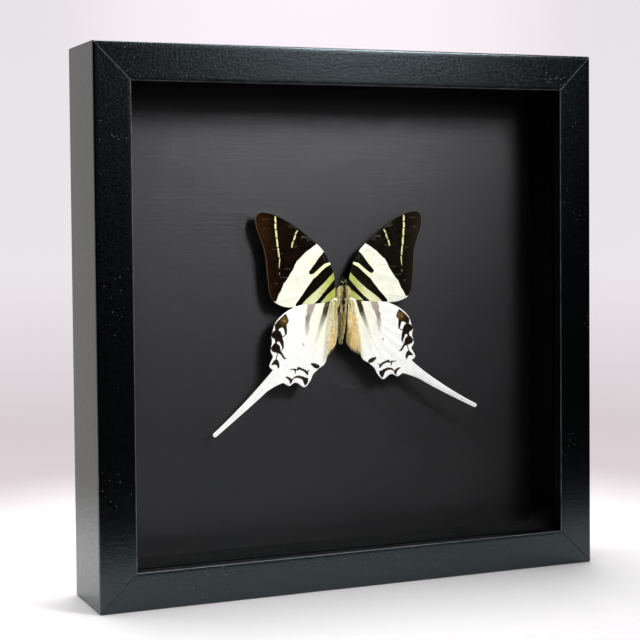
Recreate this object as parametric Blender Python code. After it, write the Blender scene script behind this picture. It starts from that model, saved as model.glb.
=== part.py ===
"""Framed swallowtail butterfly: a deep square box frame with one pinned specimen.

Metres, +Z up. The front of the frame faces -Y. The origin is the middle of the underside,
halfway through the depth, so the frame stands on Z = 0.
"""
import math

import bmesh
import bpy
from mathutils import Matrix, Vector
from mathutils.geometry import delaunay_2d_cdt

MM = 0.001

# Driving dimensions of the frame, in metres.
FRAME_SIDE = 250 * MM
FRAME_DEPTH = 42 * MM
FACE_WIDTH = 17 * MM
LIP_DEPTH = 6 * MM
WALL = 10 * MM
FIT = 0.3 * MM
OUTER_ARRIS = 1.0 * MM
LIP_ARRIS = 0.5 * MM
ARRIS_STEPS = 3
MITRE_GAP = 0.3 * MM

GLASS_THICKNESS = 2 * MM
BOARD_FACE = 31 * MM
BOARD_THICKNESS = 2 * MM
PANEL_THICKNESS = 3 * MM
SHEET_CLEARANCE = 0.5 * MM
EDGE_CHAMFER = 0.25 * MM

TAB_LENGTH = 16 * MM
TAB_WIDTH = 9 * MM
TAB_THICKNESS = 0.6 * MM
TAB_IN_WALL = 4.5 * MM
TAB_SPREAD = 62 * MM
TAB_TIP_STEPS = 8

HANGER_LENGTH = 46 * MM
HANGER_HEIGHT = 8 * MM
HANGER_THICKNESS = 0.8 * MM
HANGER_RISE = 1.8 * MM
HANGER_FOOT = 9 * MM
HANGER_TOOTH = 1.2 * MM
HANGER_TEETH = 9
HANGER_LEVEL = 205 * MM

SCREW_SHANK_RADIUS = 0.8 * MM
SCREW_HEAD_RADIUS = 2.0 * MM
SCREW_HEAD_HEIGHT = 1.1 * MM
SCREW_LENGTH = 2.4 * MM
SCREW_SIDES = 20

# Driving dimensions of the specimen. Heights are measured forward from the face of the board.
AXIS_X = 1.9 * MM
WING_ROOT_Z = 137.6 * MM
WING_THICKNESS = 0.3 * MM
CURVE_STEPS = 3
GRID_STEP = 3.0 * MM
GRID_MARGIN = 1.1 * MM
BODY_HEIGHT = 5.6 * MM
BODY_X = 2.7 * MM
BODY_LEAN = 0.061
BODY_SIDES = 20

PIN_X = 2.3 * MM
PIN_Z = 133.2 * MM
PIN_RADIUS = 0.25 * MM
PIN_HEAD_RADIUS = 0.7 * MM
PIN_TOP = 10.0 * MM
PIN_IN_BOARD = 1.6 * MM
PIN_SIDES = 12
PIN_HEAD_LENGTH = 1.05 * MM
PIN_POINT = 0.5 * MM

# Places that follow from the driving dimensions.
HALF = FRAME_SIDE / 2
FRONT_Y = -FRAME_DEPTH / 2
INNER_WALL = HALF - WALL
SIGHT = HALF - FACE_WIDTH
SHEET_HALF = INNER_WALL - SHEET_CLEARANCE
GLASS_FRONT = LIP_DEPTH + FIT
GLASS_BACK = GLASS_FRONT + GLASS_THICKNESS
PANEL_FRONT = BOARD_FACE + BOARD_THICKNESS + FIT
PANEL_BACK = PANEL_FRONT + PANEL_THICKNESS
TAB_DEPTH = PANEL_BACK + FIT
BOARD_Y = FRONT_Y + BOARD_FACE

# The wings' outlines, in millimetres out from the body's middle line and up from the root.
FOREWING_COSTA = [(3.5, 3.0), (4.1, 7.0), (5.0, 10.4), (6.4, 13.8), (8.3, 17.1), (10.6, 20.2),
                  (13.5, 22.8), (17.0, 25.7), (20.9, 28.9), (24.9, 31.6), (28.9, 33.9),
                  (32.9, 35.8), (36.6, 37.2), (39.6, 37.7)]
FOREWING_APEX = [(41.8, 37.1), (42.9, 35.8), (43.3, 34.0)]
FOREWING_TERMEN = [(43.2, 31.4), (42.4, 28.0), (41.2, 25.0), (40.0, 22.0), (39.2, 19.0),
                   (38.7, 16.0), (38.4, 13.0), (38.2, 10.0), (38.0, 7.0), (37.7, 4.0),
                   (37.4, 1.0), (36.8, -1.6), (35.8, -3.5)]
FOREWING_TORNUS = [(34.2, -5.1), (31.6, -6.5), (28.6, -7.4), (25.8, -7.6), (22.8, -8.0)]
FOREWING_INNER = [(17.0, -7.9), (11.0, -7.0), (6.5, -5.6), (3.6, -3.4)]

HINDWING_COSTA = [(3.5, -3.4), (8.0, -5.2), (14.5, -6.0), (20.5, -6.2), (23.6, -6.8),
                  (26.8, -8.0), (29.8, -9.6), (32.4, -11.6), (34.4, -13.7), (35.4, -15.6)]
HINDWING_TEETH = [(35.9, -17.2), (36.7, -19.6), (37.0, -20.6), (36.6, -21.8), (36.5, -23.4),
                  (37.0, -25.4), (37.3, -26.7), (37.1, -27.8), (36.4, -29.0), (36.1, -29.9),
                  (36.8, -31.2), (37.6, -32.8), (38.0, -33.9), (37.6, -34.8), (36.8, -35.4),
                  (36.7, -36.4)]
HINDWING_BOTTOM = [(32.0, -42.2), (30.2, -42.6), (29.0, -43.3), (28.0, -43.5), (27.0, -43.0),
                   (25.6, -42.2), (24.0, -42.5), (22.4, -43.6), (21.4, -44.3), (20.4, -44.5),
                   (19.5, -44.0), (18.2, -42.6), (17.1, -41.1), (16.6, -39.8), (15.6, -38.3),
                   (13.9, -36.9), (13.0, -36.1), (11.6, -35.4), (10.4, -34.6), (9.4, -33.2),
                   (8.9, -31.6), (8.2, -29.8), (7.3, -28.2), (5.8, -27.0), (4.2, -25.4)]
HINDWING_INNER = [(3.3, -21.5), (3.0, -16.0), (3.1, -10.0), (3.3, -6.4)]

# The tail starts at this point and is this long; its half width falls from its root to its tip.
TAIL_START = (36.6, -40.2)
TAIL_LENGTH = 37.2
TAIL_HALF_WIDTHS = [2.9, 2.4, 2.1, 1.85, 1.62, 1.42, 1.24, 1.1, 1.02]
TAIL_TIP_STEPS = 5

# Each side's own pose: the wings of a mounted insect are never quite alike.
SIDES = {
    "left": {"sign": -1, "tail_angles": (-42, -37.5), "tail_rise": -0.5,
             "fore_stretch": 1.0, "hind_stretch": 1.02},
    "right": {"sign": 1, "tail_angles": (-35, -27), "tail_rise": 5.4,
              "fore_stretch": 0.87, "hind_stretch": 0.98},
}

# How the wings are spread, in millimetres: the level of each root in front of the board, the
# wing's reach out and up or down, and how much it tilts, droops or arches over that reach.
FOREWING_LEVEL = 6.2
FOREWING_TILT = 0.07
FOREWING_DROOP = 1.1
FOREWING_REACH = 40
FOREWING_RISE = 37
HINDWING_LEVEL = 7.5
HINDWING_ARCH = 0.5
HINDWING_REACH = 36
HINDWING_DROP = 44

# The body's cross-sections from the head to the tip of the abdomen, in millimetres:
# up from the wing root, half width, half depth.
BODY_SECTIONS = [(6.2, 0.2, 0.2), (5.9, 0.9, 0.9), (5.2, 1.4, 1.4), (4.2, 1.6, 1.6),
                 (3.3, 1.3, 1.4), (2.8, 1.5, 1.7), (1.5, 2.1, 2.5), (-0.8, 2.35, 2.9),
                 (-3.2, 2.35, 2.9), (-5.4, 2.1, 2.5), (-6.8, 1.7, 2.0), (-8.6, 1.8, 2.1),
                 (-12.0, 1.9, 2.2), (-16.0, 1.8, 2.1), (-19.5, 1.5, 1.8), (-22.6, 1.05, 1.3),
                 (-24.4, 0.6, 0.7), (-25.2, 0.2, 0.2)]


def clear_scene():
    for item in list(bpy.data.objects):
        bpy.data.objects.remove(item, do_unlink=True)


def material(name, color, roughness, metallic=0.0, transmission=0.0):
    made = bpy.data.materials.new(name)
    made.use_nodes = True
    shader = made.node_tree.nodes["Principled BSDF"]
    shader.inputs["Base Color"].default_value = (*color, 1.0)
    shader.inputs["Roughness"].default_value = roughness
    shader.inputs["Metallic"].default_value = metallic
    shader.inputs["Transmission Weight"].default_value = transmission
    return made


def object_from(name, mesh_builder, finish, smooth=False):
    """One named object from a bmesh, with its normals facing out."""
    bmesh.ops.recalc_face_normals(mesh_builder, faces=mesh_builder.faces)
    mesh = bpy.data.meshes.new(name)
    mesh_builder.to_mesh(mesh)
    mesh_builder.free()
    made = bpy.data.objects.new(name, mesh)
    bpy.context.collection.objects.link(made)
    mesh.materials.append(finish)
    if smooth:
        mesh.shade_smooth()
        mesh.set_sharp_from_angle(angle=math.radians(40))
    return made


def box(name, low, high, finish, chamfer=0.0):
    shape = bmesh.new()
    size = Vector(high) - Vector(low)
    centre = (Vector(high) + Vector(low)) / 2
    bmesh.ops.create_cube(shape, size=1.0, matrix=Matrix.Diagonal((*size, 1.0)))
    made = object_from(name, shape, finish)
    made.location = centre
    if chamfer:
        edge = made.modifiers.new("arris", "BEVEL")
        edge.width = chamfer
        edge.segments = 1
    return made


def prism(shape, outline, start, end):
    """A closed prism between two copies of an outline; start and end place its points."""
    rings = [[shape.verts.new(place(point)) for point in outline] for place in (start, end)]
    count = len(outline)
    for index in range(count):
        following = (index + 1) % count
        shape.faces.new((rings[0][index], rings[0][following],
                         rings[1][following], rings[1][index]))
    shape.faces.new(rings[0])
    shape.faces.new(list(reversed(rings[1])))


def cut(target, cutter, name):
    cutter.hide_render = True
    cutter.display_type = "WIRE"
    hole = target.modifiers.new(name, "BOOLEAN")
    hole.operation = "DIFFERENCE"
    hole.object = cutter


def rounded_corner(corner, before, after, radius):
    """Points of an arc that rounds a square corner of a profile."""
    corner, before, after = Vector(corner), Vector(before), Vector(after)
    towards_before = (before - corner).normalized()
    towards_after = (after - corner).normalized()
    centre = corner + (towards_before + towards_after) * radius
    points = []
    for step in range(ARRIS_STEPS + 1):
        angle = math.pi / 2 * step / ARRIS_STEPS
        points.append(centre - towards_after * radius * math.cos(angle)
                      - towards_before * radius * math.sin(angle))
    return points


def rail_profile():
    """The moulding's section: distance in from the outer face, depth back from the front."""
    outer_front = (0.0, 0.0)
    lip_front = (FACE_WIDTH, 0.0)
    lip_back = (FACE_WIDTH, LIP_DEPTH)
    points = rounded_corner(outer_front, (0.0, FRAME_DEPTH), lip_front, OUTER_ARRIS)
    points += rounded_corner(lip_front, outer_front, lip_back, LIP_ARRIS)
    points += [Vector(lip_back), Vector((WALL, LIP_DEPTH)),
               Vector((WALL, FRAME_DEPTH)), Vector((0.0, FRAME_DEPTH))]
    return points


def place_on_side(item, turn):
    """Rails and what belongs to them are made as the top one and turned about the middle."""
    item.rotation_euler = (0.0, turn, 0.0)
    item.location = (0.0, 0.0, HALF)


def mitred_rail(name, turn, finish):
    shape = bmesh.new()
    trim = MITRE_GAP / math.sqrt(2)

    def end(side):
        def place(point):
            inward, depth = point
            return (side * (HALF - inward - trim), FRONT_Y + depth, HALF - inward)
        return place

    prism(shape, rail_profile(), end(-1), end(1))
    rail = object_from(name, shape, finish, smooth=True)
    place_on_side(rail, turn)
    return rail


def tab_slots(rail, turn, finish):
    shape = bmesh.new()
    for side in (-1, 1):
        size = Vector((TAB_WIDTH + 2 * FIT, TAB_THICKNESS + 2 * FIT, TAB_IN_WALL + 2 * FIT))
        centre = Vector((side * TAB_SPREAD, FRONT_Y + TAB_DEPTH + TAB_THICKNESS / 2,
                         INNER_WALL + TAB_IN_WALL / 2))
        matrix = Matrix.Translation(centre) @ Matrix.Diagonal((*size, 1.0))
        bmesh.ops.create_cube(shape, size=1.0, matrix=matrix)
    cutter = object_from(rail.name + "_slots", shape, finish)
    place_on_side(cutter, turn)
    cut(rail, cutter, "tab slots")


def retaining_tab(name, turn, along, finish):
    """A flat steel tab: square where it sits in the rail, round where it laps the panel."""
    shape = bmesh.new()
    half = TAB_WIDTH / 2
    outer = INNER_WALL + TAB_IN_WALL
    tip_centre = outer - TAB_LENGTH + half
    outline = [(along - half, outer), (along + half, outer)]
    for step in range(TAB_TIP_STEPS + 1):
        angle = math.pi * step / TAB_TIP_STEPS
        outline.append((along + half * math.cos(angle), tip_centre - half * math.sin(angle)))

    def layer(depth):
        return lambda point: (point[0], FRONT_Y + depth, point[1])

    prism(shape, outline, layer(TAB_DEPTH), layer(TAB_DEPTH + TAB_THICKNESS))
    tab = object_from(name, shape, finish)
    place_on_side(tab, turn)
    return tab


def make_frame(finishes):
    turns = {"top": 0.0, "right": math.pi / 2, "bottom": math.pi, "left": -math.pi / 2}
    for side, turn in turns.items():
        rail = mitred_rail("rail_" + side, turn, finishes["rail"])
        tab_slots(rail, turn, finishes["rail"])
        for number, along in enumerate((-TAB_SPREAD, TAB_SPREAD), start=1):
            retaining_tab(f"retaining_tab_{side}_{number}", turn, along, finishes["steel"])


def sheet(name, front, thickness, finish, chamfer=0.0):
    """A square sheet that drops into the rebate from behind."""
    low = (-SHEET_HALF, FRONT_Y + front, HALF - SHEET_HALF)
    high = (SHEET_HALF, FRONT_Y + front + thickness, HALF + SHEET_HALF)
    return box(name, low, high, finish, chamfer)


def make_spacers(finish):
    front = FRONT_Y + GLASS_BACK + FIT
    back = FRONT_Y + BOARD_FACE - FIT
    for name, side in (("spacer_bottom", -1), ("spacer_top", 1)):
        levels = sorted((HALF + side * SIGHT, HALF + side * SHEET_HALF))
        box(name, (-SHEET_HALF, front, levels[0]), (SHEET_HALF, back, levels[1]),
            finish, EDGE_CHAMFER)
    reach = SIGHT - FIT
    for name, side in (("spacer_left", -1), ("spacer_right", 1)):
        places = sorted((side * SIGHT, side * SHEET_HALF))
        box(name, (places[0], front, HALF - reach), (places[1], back, HALF + reach),
            finish, EDGE_CHAMFER)


def cylinder_along_y(name, centre, front, back, radius, sides, finish):
    shape = bmesh.new()
    outline = [(math.cos(2 * math.pi * step / sides) * radius,
                math.sin(2 * math.pi * step / sides) * radius) for step in range(sides)]

    def layer(level):
        return lambda point: (centre[0] + point[0], level, centre[1] + point[1])

    prism(shape, outline, layer(front), layer(back))
    return object_from(name, shape, finish)


def turned_along_y(name, centre, profile, sides, finish):
    """A turned piece from (radius, y) points that start and end on the axis."""
    shape = bmesh.new()
    rings = []
    for radius, level in profile[1:-1]:
        rings.append([shape.verts.new((centre[0] + radius * math.cos(2 * math.pi * step / sides),
                                       level,
                                       centre[1] + radius * math.sin(2 * math.pi * step / sides)))
                      for step in range(sides)])
    caps = [shape.verts.new((centre[0], level, centre[1])) for _, level in (profile[0], profile[-1])]
    for step in range(sides):
        following = (step + 1) % sides
        shape.faces.new((caps[0], rings[0][step], rings[0][following]))
        shape.faces.new((caps[1], rings[-1][following], rings[-1][step]))
        for near, far in zip(rings, rings[1:]):
            shape.faces.new((near[step], far[step], far[following], near[following]))
    return object_from(name, shape, finish, smooth=True)


def make_hanger(panel, finishes):
    """A strip whose middle stands off the panel, with teeth along the underside of the middle."""
    shape = bmesh.new()
    foot_y = FRONT_Y + PANEL_BACK + FIT
    half = HANGER_LENGTH / 2
    raised = half - HANGER_FOOT
    pitch = 2 * (raised - HANGER_RISE) / (2 * HANGER_TEETH)
    stations = [(-half, 0.0, 0.0), (-raised, 0.0, 0.0)]
    for step in range(2 * HANGER_TEETH + 1):
        notch = HANGER_TOOTH if step % 2 else 0.0
        stations.append((-raised + HANGER_RISE + step * pitch, HANGER_RISE, notch))
    stations += [(raised, 0.0, 0.0), (half, 0.0, 0.0)]
    outlines = []
    for x, rise, notch in stations:
        low = HANGER_LEVEL - HANGER_HEIGHT / 2 + notch
        high = HANGER_LEVEL + HANGER_HEIGHT / 2
        near = foot_y + rise
        far = near + HANGER_THICKNESS
        outlines.append([shape.verts.new((x, y, z))
                         for y, z in ((near, low), (far, low), (far, high), (near, high))])
    for first, second in zip(outlines, outlines[1:]):
        for index in range(4):
            following = (index + 1) % 4
            shape.faces.new((first[index], first[following], second[following], second[index]))
    shape.faces.new(outlines[0])
    shape.faces.new(list(reversed(outlines[-1])))
    hanger = object_from("sawtooth_hanger", shape, finishes["steel"])
    for side, sign in (("left", -1), ("right", 1)):
        centre = (sign * (half - HANGER_FOOT / 2), HANGER_LEVEL)
        plate_back = foot_y + HANGER_THICKNESS
        hole = cylinder_along_y(f"hanger_hole_{side}", centre,
                                FRONT_Y + PANEL_BACK - SCREW_LENGTH, plate_back + FIT,
                                SCREW_SHANK_RADIUS + FIT, SCREW_SIDES, finishes["steel"])
        cut(hanger, hole, f"screw hole {side}")
        cut(panel, hole, f"screw hole {side}")
        head = plate_back + FIT
        tip = FRONT_Y + PANEL_BACK - SCREW_LENGTH + FIT
        profile = [(0.0, tip), (SCREW_SHANK_RADIUS, tip), (SCREW_SHANK_RADIUS, head),
                   (SCREW_HEAD_RADIUS, head),
                   (SCREW_HEAD_RADIUS * 0.9, head + SCREW_HEAD_HEIGHT * 0.55),
                   (SCREW_HEAD_RADIUS * 0.55, head + SCREW_HEAD_HEIGHT * 0.9),
                   (0.0, head + SCREW_HEAD_HEIGHT)]
        turned_along_y(f"hanger_screw_{side}", centre, profile, SCREW_SIDES, finishes["steel"])


def smooth_outline(points, steps):
    """A closed Catmull-Rom curve through hand-set points."""
    count = len(points)
    curve = []
    for index in range(count):
        before, start, end, after = (Vector(points[(index + shift) % count])
                                     for shift in (-1, 0, 1, 2))
        for step in range(steps):
            t = step / steps
            curve.append(0.5 * (2 * start + (end - before) * t
                                + (2 * before - 5 * start + 4 * end - after) * t ** 2
                                + (3 * start - before - 3 * end + after) * t ** 3))
    return curve


def tail_outline(angles):
    """Both edges of the tail from its root round its tip and back, in millimetres."""
    middle = Vector(TAIL_START)
    count = len(TAIL_HALF_WIDTHS)
    step = TAIL_LENGTH / (count - 1)
    upper, lower = [], []
    for index, half_width in enumerate(TAIL_HALF_WIDTHS):
        share = index / (count - 1)
        angle = math.radians(angles[0] + (angles[1] - angles[0]) * share)
        direction = Vector((math.cos(angle), math.sin(angle)))
        normal = Vector((-direction.y, direction.x))
        upper.append(middle + normal * half_width)
        lower.append(middle - normal * half_width)
        if index < count - 1:
            middle = middle + direction * step
    radius = TAIL_HALF_WIDTHS[-1]
    tip = []
    for index in range(1, TAIL_TIP_STEPS):
        turn = math.pi * index / TAIL_TIP_STEPS
        tip.append(middle + normal * radius * math.cos(turn) + direction * radius * math.sin(turn))
    return upper[1:] + tip + list(reversed(lower[1:]))


def forewing_outline():
    points = FOREWING_COSTA + FOREWING_APEX + FOREWING_TERMEN + FOREWING_TORNUS + FOREWING_INNER
    return smooth_outline(points, CURVE_STEPS)


def hindwing_outline(angles):
    points = HINDWING_COSTA + HINDWING_TEETH + tail_outline(angles)
    points = points + HINDWING_BOTTOM + HINDWING_INNER
    return smooth_outline(points, CURVE_STEPS)


def forewing_height(out, up, side):
    """How far the forewing stands in front of the board, in millimetres; its apex droops."""
    reach = out / FOREWING_REACH
    return FOREWING_LEVEL + FOREWING_TILT * reach - FOREWING_DROOP * reach * up / FOREWING_RISE


def hindwing_height(out, up, side):
    """The hindwing lies in front of the forewing; its tail lifts off on one side."""
    reach = min(out / HINDWING_REACH, 1.0)
    drop = min(max(-up / HINDWING_DROP, 0.0), 1.0)
    beyond = max(out - TAIL_START[0], 0.0) / TAIL_LENGTH
    arch = HINDWING_ARCH * math.sin(math.pi * reach) * drop
    return HINDWING_LEVEL + arch + side["tail_rise"] * beyond


def inside(point, outline):
    crossings = False
    for (ax, ay), (bx, by) in zip(outline, outline[1:] + outline[:1]):
        if (ay > point.y) != (by > point.y):
            crossings ^= point.x < (bx - ax) * (point.y - ay) / (by - ay) + ax
    return crossings


def distance_to(point, outline):
    nearest = math.inf
    for start, end in zip(outline, outline[1:] + outline[:1]):
        along = end - start
        share = max(0.0, min(1.0, (point - start).dot(along) / along.length_squared))
        nearest = min(nearest, (point - start - along * share).length)
    return nearest


def inner_points(outline):
    """Points of a staggered grid that lie inside the outline, clear of its edge."""
    step = GRID_STEP / MM
    low = Vector((min(p.x for p in outline), min(p.y for p in outline)))
    high = Vector((max(p.x for p in outline), max(p.y for p in outline)))
    found = []
    for row in range(int((high.y - low.y) / step) + 1):
        for column in range(int((high.x - low.x) / step) + 2):
            point = Vector((low.x + (column - 0.5 * (row % 2)) * step, low.y + row * step))
            if inside(point, outline) and distance_to(point, outline) > GRID_MARGIN / MM:
                found.append(point)
    return found


def wing(name, outline, height_of, side, stretch, finish):
    """A thin closed sheet over the outline, bent to the height of each of its points."""
    points = outline + inner_points(outline)
    border = [(index, (index + 1) % len(outline)) for index in range(len(outline))]
    flat, _, triangles, *_ = delaunay_2d_cdt(points, border, [], 1, 1e-5)
    shape = bmesh.new()
    layers = []
    for offset in (WING_THICKNESS / 2, -WING_THICKNESS / 2):
        layer = []
        for point in flat:
            height = height_of(point.x, point.y, side) * MM
            stretched = point.y * stretch if point.y < 0 else point.y
            layer.append(shape.verts.new((AXIS_X + side["sign"] * point.x * MM,
                                          BOARD_Y - height + offset,
                                          WING_ROOT_Z + stretched * MM)))
        layers.append(layer)
    edges = {}
    for corners in triangles:
        shape.faces.new([layers[0][corner] for corner in corners])
        shape.faces.new([layers[1][corner] for corner in reversed(corners)])
        for start, end in zip(corners, corners[1:] + corners[:1]):
            edges[(start, end)] = True
    for start, end in edges:
        if (end, start) not in edges:
            shape.faces.new((layers[0][end], layers[0][start], layers[1][start], layers[1][end]))
    return object_from(name, shape, finish, smooth=True)


def make_wings(finishes):
    for label, side in SIDES.items():
        wing("forewing_" + label, forewing_outline(), forewing_height, side,
             side["fore_stretch"], finishes["forewing"])
        wing("hindwing_" + label, hindwing_outline(side["tail_angles"]), hindwing_height, side,
             side["hind_stretch"], finishes["hindwing"])


def make_body(finish, pin_hole):
    shape = bmesh.new()
    rings = []
    for up, half_width, half_depth in BODY_SECTIONS:
        ring = []
        for step in range(BODY_SIDES):
            angle = 2 * math.pi * step / BODY_SIDES
            ring.append(shape.verts.new((BODY_X + (BODY_LEAN * up + half_width * math.cos(angle)) * MM,
                                         BOARD_Y - BODY_HEIGHT + half_depth * MM * math.sin(angle),
                                         WING_ROOT_Z + up * MM)))
        rings.append(ring)
    for near, far in zip(rings, rings[1:]):
        for step in range(BODY_SIDES):
            following = (step + 1) % BODY_SIDES
            shape.faces.new((near[step], near[following], far[following], far[step]))
    shape.faces.new(rings[0])
    shape.faces.new(list(reversed(rings[-1])))
    body = object_from("butterfly_body", shape, finish, smooth=True)
    cut(body, pin_hole, "pin hole")
    return body


def make_pin(finish):
    head = BOARD_Y - PIN_TOP
    tip = BOARD_Y + PIN_IN_BOARD
    profile = [(0.0, head)]
    for share in (0.12, 0.5, 0.88):
        radius = PIN_HEAD_RADIUS * math.sin(math.pi * share) ** 0.5
        profile.append((radius, head + PIN_HEAD_LENGTH * share))
    profile += [(PIN_RADIUS, head + PIN_HEAD_LENGTH), (PIN_RADIUS, tip - PIN_POINT), (0.0, tip)]
    turned_along_y("insect_pin", (PIN_X, PIN_Z), profile, PIN_SIDES, finish)


def main():
    clear_scene()
    finishes = {
        "rail": material("black satin moulding", (0.012, 0.013, 0.014), 0.38),
        "glass": material("clear glass", (1.0, 1.0, 1.0), 0.02, transmission=1.0),
        "spacer": material("black paper", (0.006, 0.006, 0.008), 0.8),
        "board": material("dark grey paper", (0.045, 0.046, 0.052), 0.75),
        "panel": material("brown hardboard", (0.20, 0.12, 0.07), 0.8),
        "steel": material("zinc-plated steel", (0.55, 0.56, 0.58), 0.35, metallic=1.0),
        "forewing": material("dark wing", (0.022, 0.012, 0.007), 0.7),
        "hindwing": material("white wing", (0.86, 0.85, 0.80), 0.7),
        "body": material("pale hair", (0.42, 0.38, 0.20), 0.9),
    }
    make_frame(finishes)
    sheet("glazing", GLASS_FRONT, GLASS_THICKNESS, finishes["glass"], EDGE_CHAMFER)
    make_spacers(finishes["spacer"])
    board = sheet("backing_board", BOARD_FACE, BOARD_THICKNESS, finishes["board"])
    panel = sheet("back_panel", PANEL_FRONT, PANEL_THICKNESS, finishes["panel"])
    pin_hole = cylinder_along_y("pin_hole", (PIN_X, PIN_Z), BOARD_Y - PIN_TOP,
                                BOARD_Y + PIN_IN_BOARD + FIT, PIN_RADIUS + FIT, PIN_SIDES,
                                finishes["steel"])
    cut(board, pin_hole, "pin hole")
    make_hanger(panel, finishes)
    make_wings(finishes)
    make_body(finishes["body"], pin_hole)
    make_pin(finishes["steel"])


main()
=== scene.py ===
"""Looks of the framed swallowtail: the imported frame, with the wings, body and hair in detail.

Metres, +Z up, front towards -Y, in the same frame as the CAD. Wing and marking places are in
millimetres, out from the body's middle line and up from the wing root.
"""
import math
import random

import bpy
import numpy as np
from mathutils import Matrix, Vector, noise


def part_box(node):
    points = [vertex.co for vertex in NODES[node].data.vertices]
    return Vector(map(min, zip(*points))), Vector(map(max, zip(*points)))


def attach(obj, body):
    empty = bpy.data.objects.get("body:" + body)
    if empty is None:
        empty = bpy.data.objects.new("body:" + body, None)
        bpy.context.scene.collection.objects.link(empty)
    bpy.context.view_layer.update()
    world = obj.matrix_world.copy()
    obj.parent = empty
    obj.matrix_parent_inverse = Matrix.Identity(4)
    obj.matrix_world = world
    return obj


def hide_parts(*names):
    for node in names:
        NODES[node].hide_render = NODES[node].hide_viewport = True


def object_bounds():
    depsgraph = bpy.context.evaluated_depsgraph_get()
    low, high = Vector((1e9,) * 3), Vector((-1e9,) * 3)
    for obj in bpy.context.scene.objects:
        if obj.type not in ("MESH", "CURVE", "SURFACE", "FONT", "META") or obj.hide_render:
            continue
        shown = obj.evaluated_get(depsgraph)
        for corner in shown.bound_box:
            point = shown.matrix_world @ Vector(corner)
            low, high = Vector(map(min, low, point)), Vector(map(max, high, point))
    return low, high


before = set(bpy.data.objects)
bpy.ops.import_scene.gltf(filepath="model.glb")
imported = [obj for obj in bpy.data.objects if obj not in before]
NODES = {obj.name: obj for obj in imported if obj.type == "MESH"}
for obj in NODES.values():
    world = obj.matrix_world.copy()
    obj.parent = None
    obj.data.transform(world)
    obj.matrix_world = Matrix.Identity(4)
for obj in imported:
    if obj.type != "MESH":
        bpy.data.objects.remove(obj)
CAD_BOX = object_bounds()
MM = 0.001
SEED = 7

# The specimen's place and spread, as in the solid model.
AXIS_X = 1.9
WING_ROOT_Z = 137.6
BODY_X = 2.7
BODY_LEAN = 0.061
BODY_HEIGHT = 5.6
BOARD_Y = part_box("backing_board")[0].y / MM
TAIL_START = (36.6, -40.2)
TAIL_LENGTH = 37.2
TAIL_HALF_WIDTHS = [2.9, 2.4, 2.1, 1.85, 1.62, 1.42, 1.24, 1.1, 1.02]
TAIL_TIP_STEPS = 5
FOREWING_LEVEL = 6.2
FOREWING_TILT = 0.07
FOREWING_DROOP = 1.1
FOREWING_REACH = 40
FOREWING_RISE = 37
HINDWING_LEVEL = 7.5
HINDWING_ARCH = 0.5
HINDWING_REACH = 36
HINDWING_DROP = 44
SIDES = {
    "left": {"sign": -1, "tail_angles": (-42, -37.5), "tail_rise": -0.5,
             "fore_stretch": 1.0, "hind_stretch": 1.02},
    "right": {"sign": 1, "tail_angles": (-35, -27), "tail_rise": 5.4,
              "fore_stretch": 0.87, "hind_stretch": 0.98},
}

FOREWING = [(3.5, 3.0), (4.1, 7.0), (5.0, 10.4), (6.4, 13.8), (8.3, 17.1), (10.6, 20.2),
            (13.5, 22.8), (17.0, 25.7), (20.9, 28.9), (24.9, 31.6), (28.9, 33.9),
            (32.9, 35.8), (36.6, 37.2), (39.6, 37.7), (41.8, 37.1), (42.9, 35.8),
            (43.3, 34.0), (43.2, 31.4), (42.4, 28.0), (41.2, 25.0), (40.0, 22.0),
            (39.2, 19.0), (38.7, 16.0), (38.4, 13.0), (38.2, 10.0), (38.0, 7.0),
            (37.7, 4.0), (37.4, 1.0), (36.8, -1.6), (35.8, -3.5), (34.2, -5.1),
            (31.6, -6.5), (28.6, -7.4), (25.8, -7.6), (22.8, -8.0), (17.0, -7.9),
            (11.0, -7.0), (6.5, -5.6), (3.6, -3.4)]
HINDWING_OUTER = [(3.5, -3.4), (8.0, -5.2), (14.5, -6.0), (20.5, -6.2), (23.6, -6.8),
                  (26.8, -8.0), (29.8, -9.6), (32.4, -11.6), (34.4, -13.7), (35.4, -15.6),
                  (35.9, -17.2), (36.7, -19.6), (37.0, -20.6), (36.6, -21.8), (36.5, -23.4),
                  (37.0, -25.4), (37.3, -26.7), (37.1, -27.8), (36.4, -29.0), (36.1, -29.9),
                  (36.8, -31.2), (37.6, -32.8), (38.0, -33.9), (37.6, -34.8), (36.8, -35.4),
                  (36.7, -36.4)]
HINDWING_INNER = [(32.0, -42.2), (30.2, -42.6), (29.0, -43.3), (28.0, -43.5), (27.0, -43.0),
                  (25.6, -42.2), (24.0, -42.5), (22.4, -43.6), (21.4, -44.3), (20.4, -44.5),
                  (19.5, -44.0), (18.2, -42.6), (17.1, -41.1), (16.6, -39.8), (15.6, -38.3),
                  (13.9, -36.9), (13.0, -36.1), (11.6, -35.4), (10.4, -34.6), (9.4, -33.2),
                  (8.9, -31.6), (8.2, -29.8), (7.3, -28.2), (5.8, -27.0), (4.2, -25.4),
                  (3.3, -21.5), (3.0, -16.0), (3.1, -10.0), (3.3, -6.4)]

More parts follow.
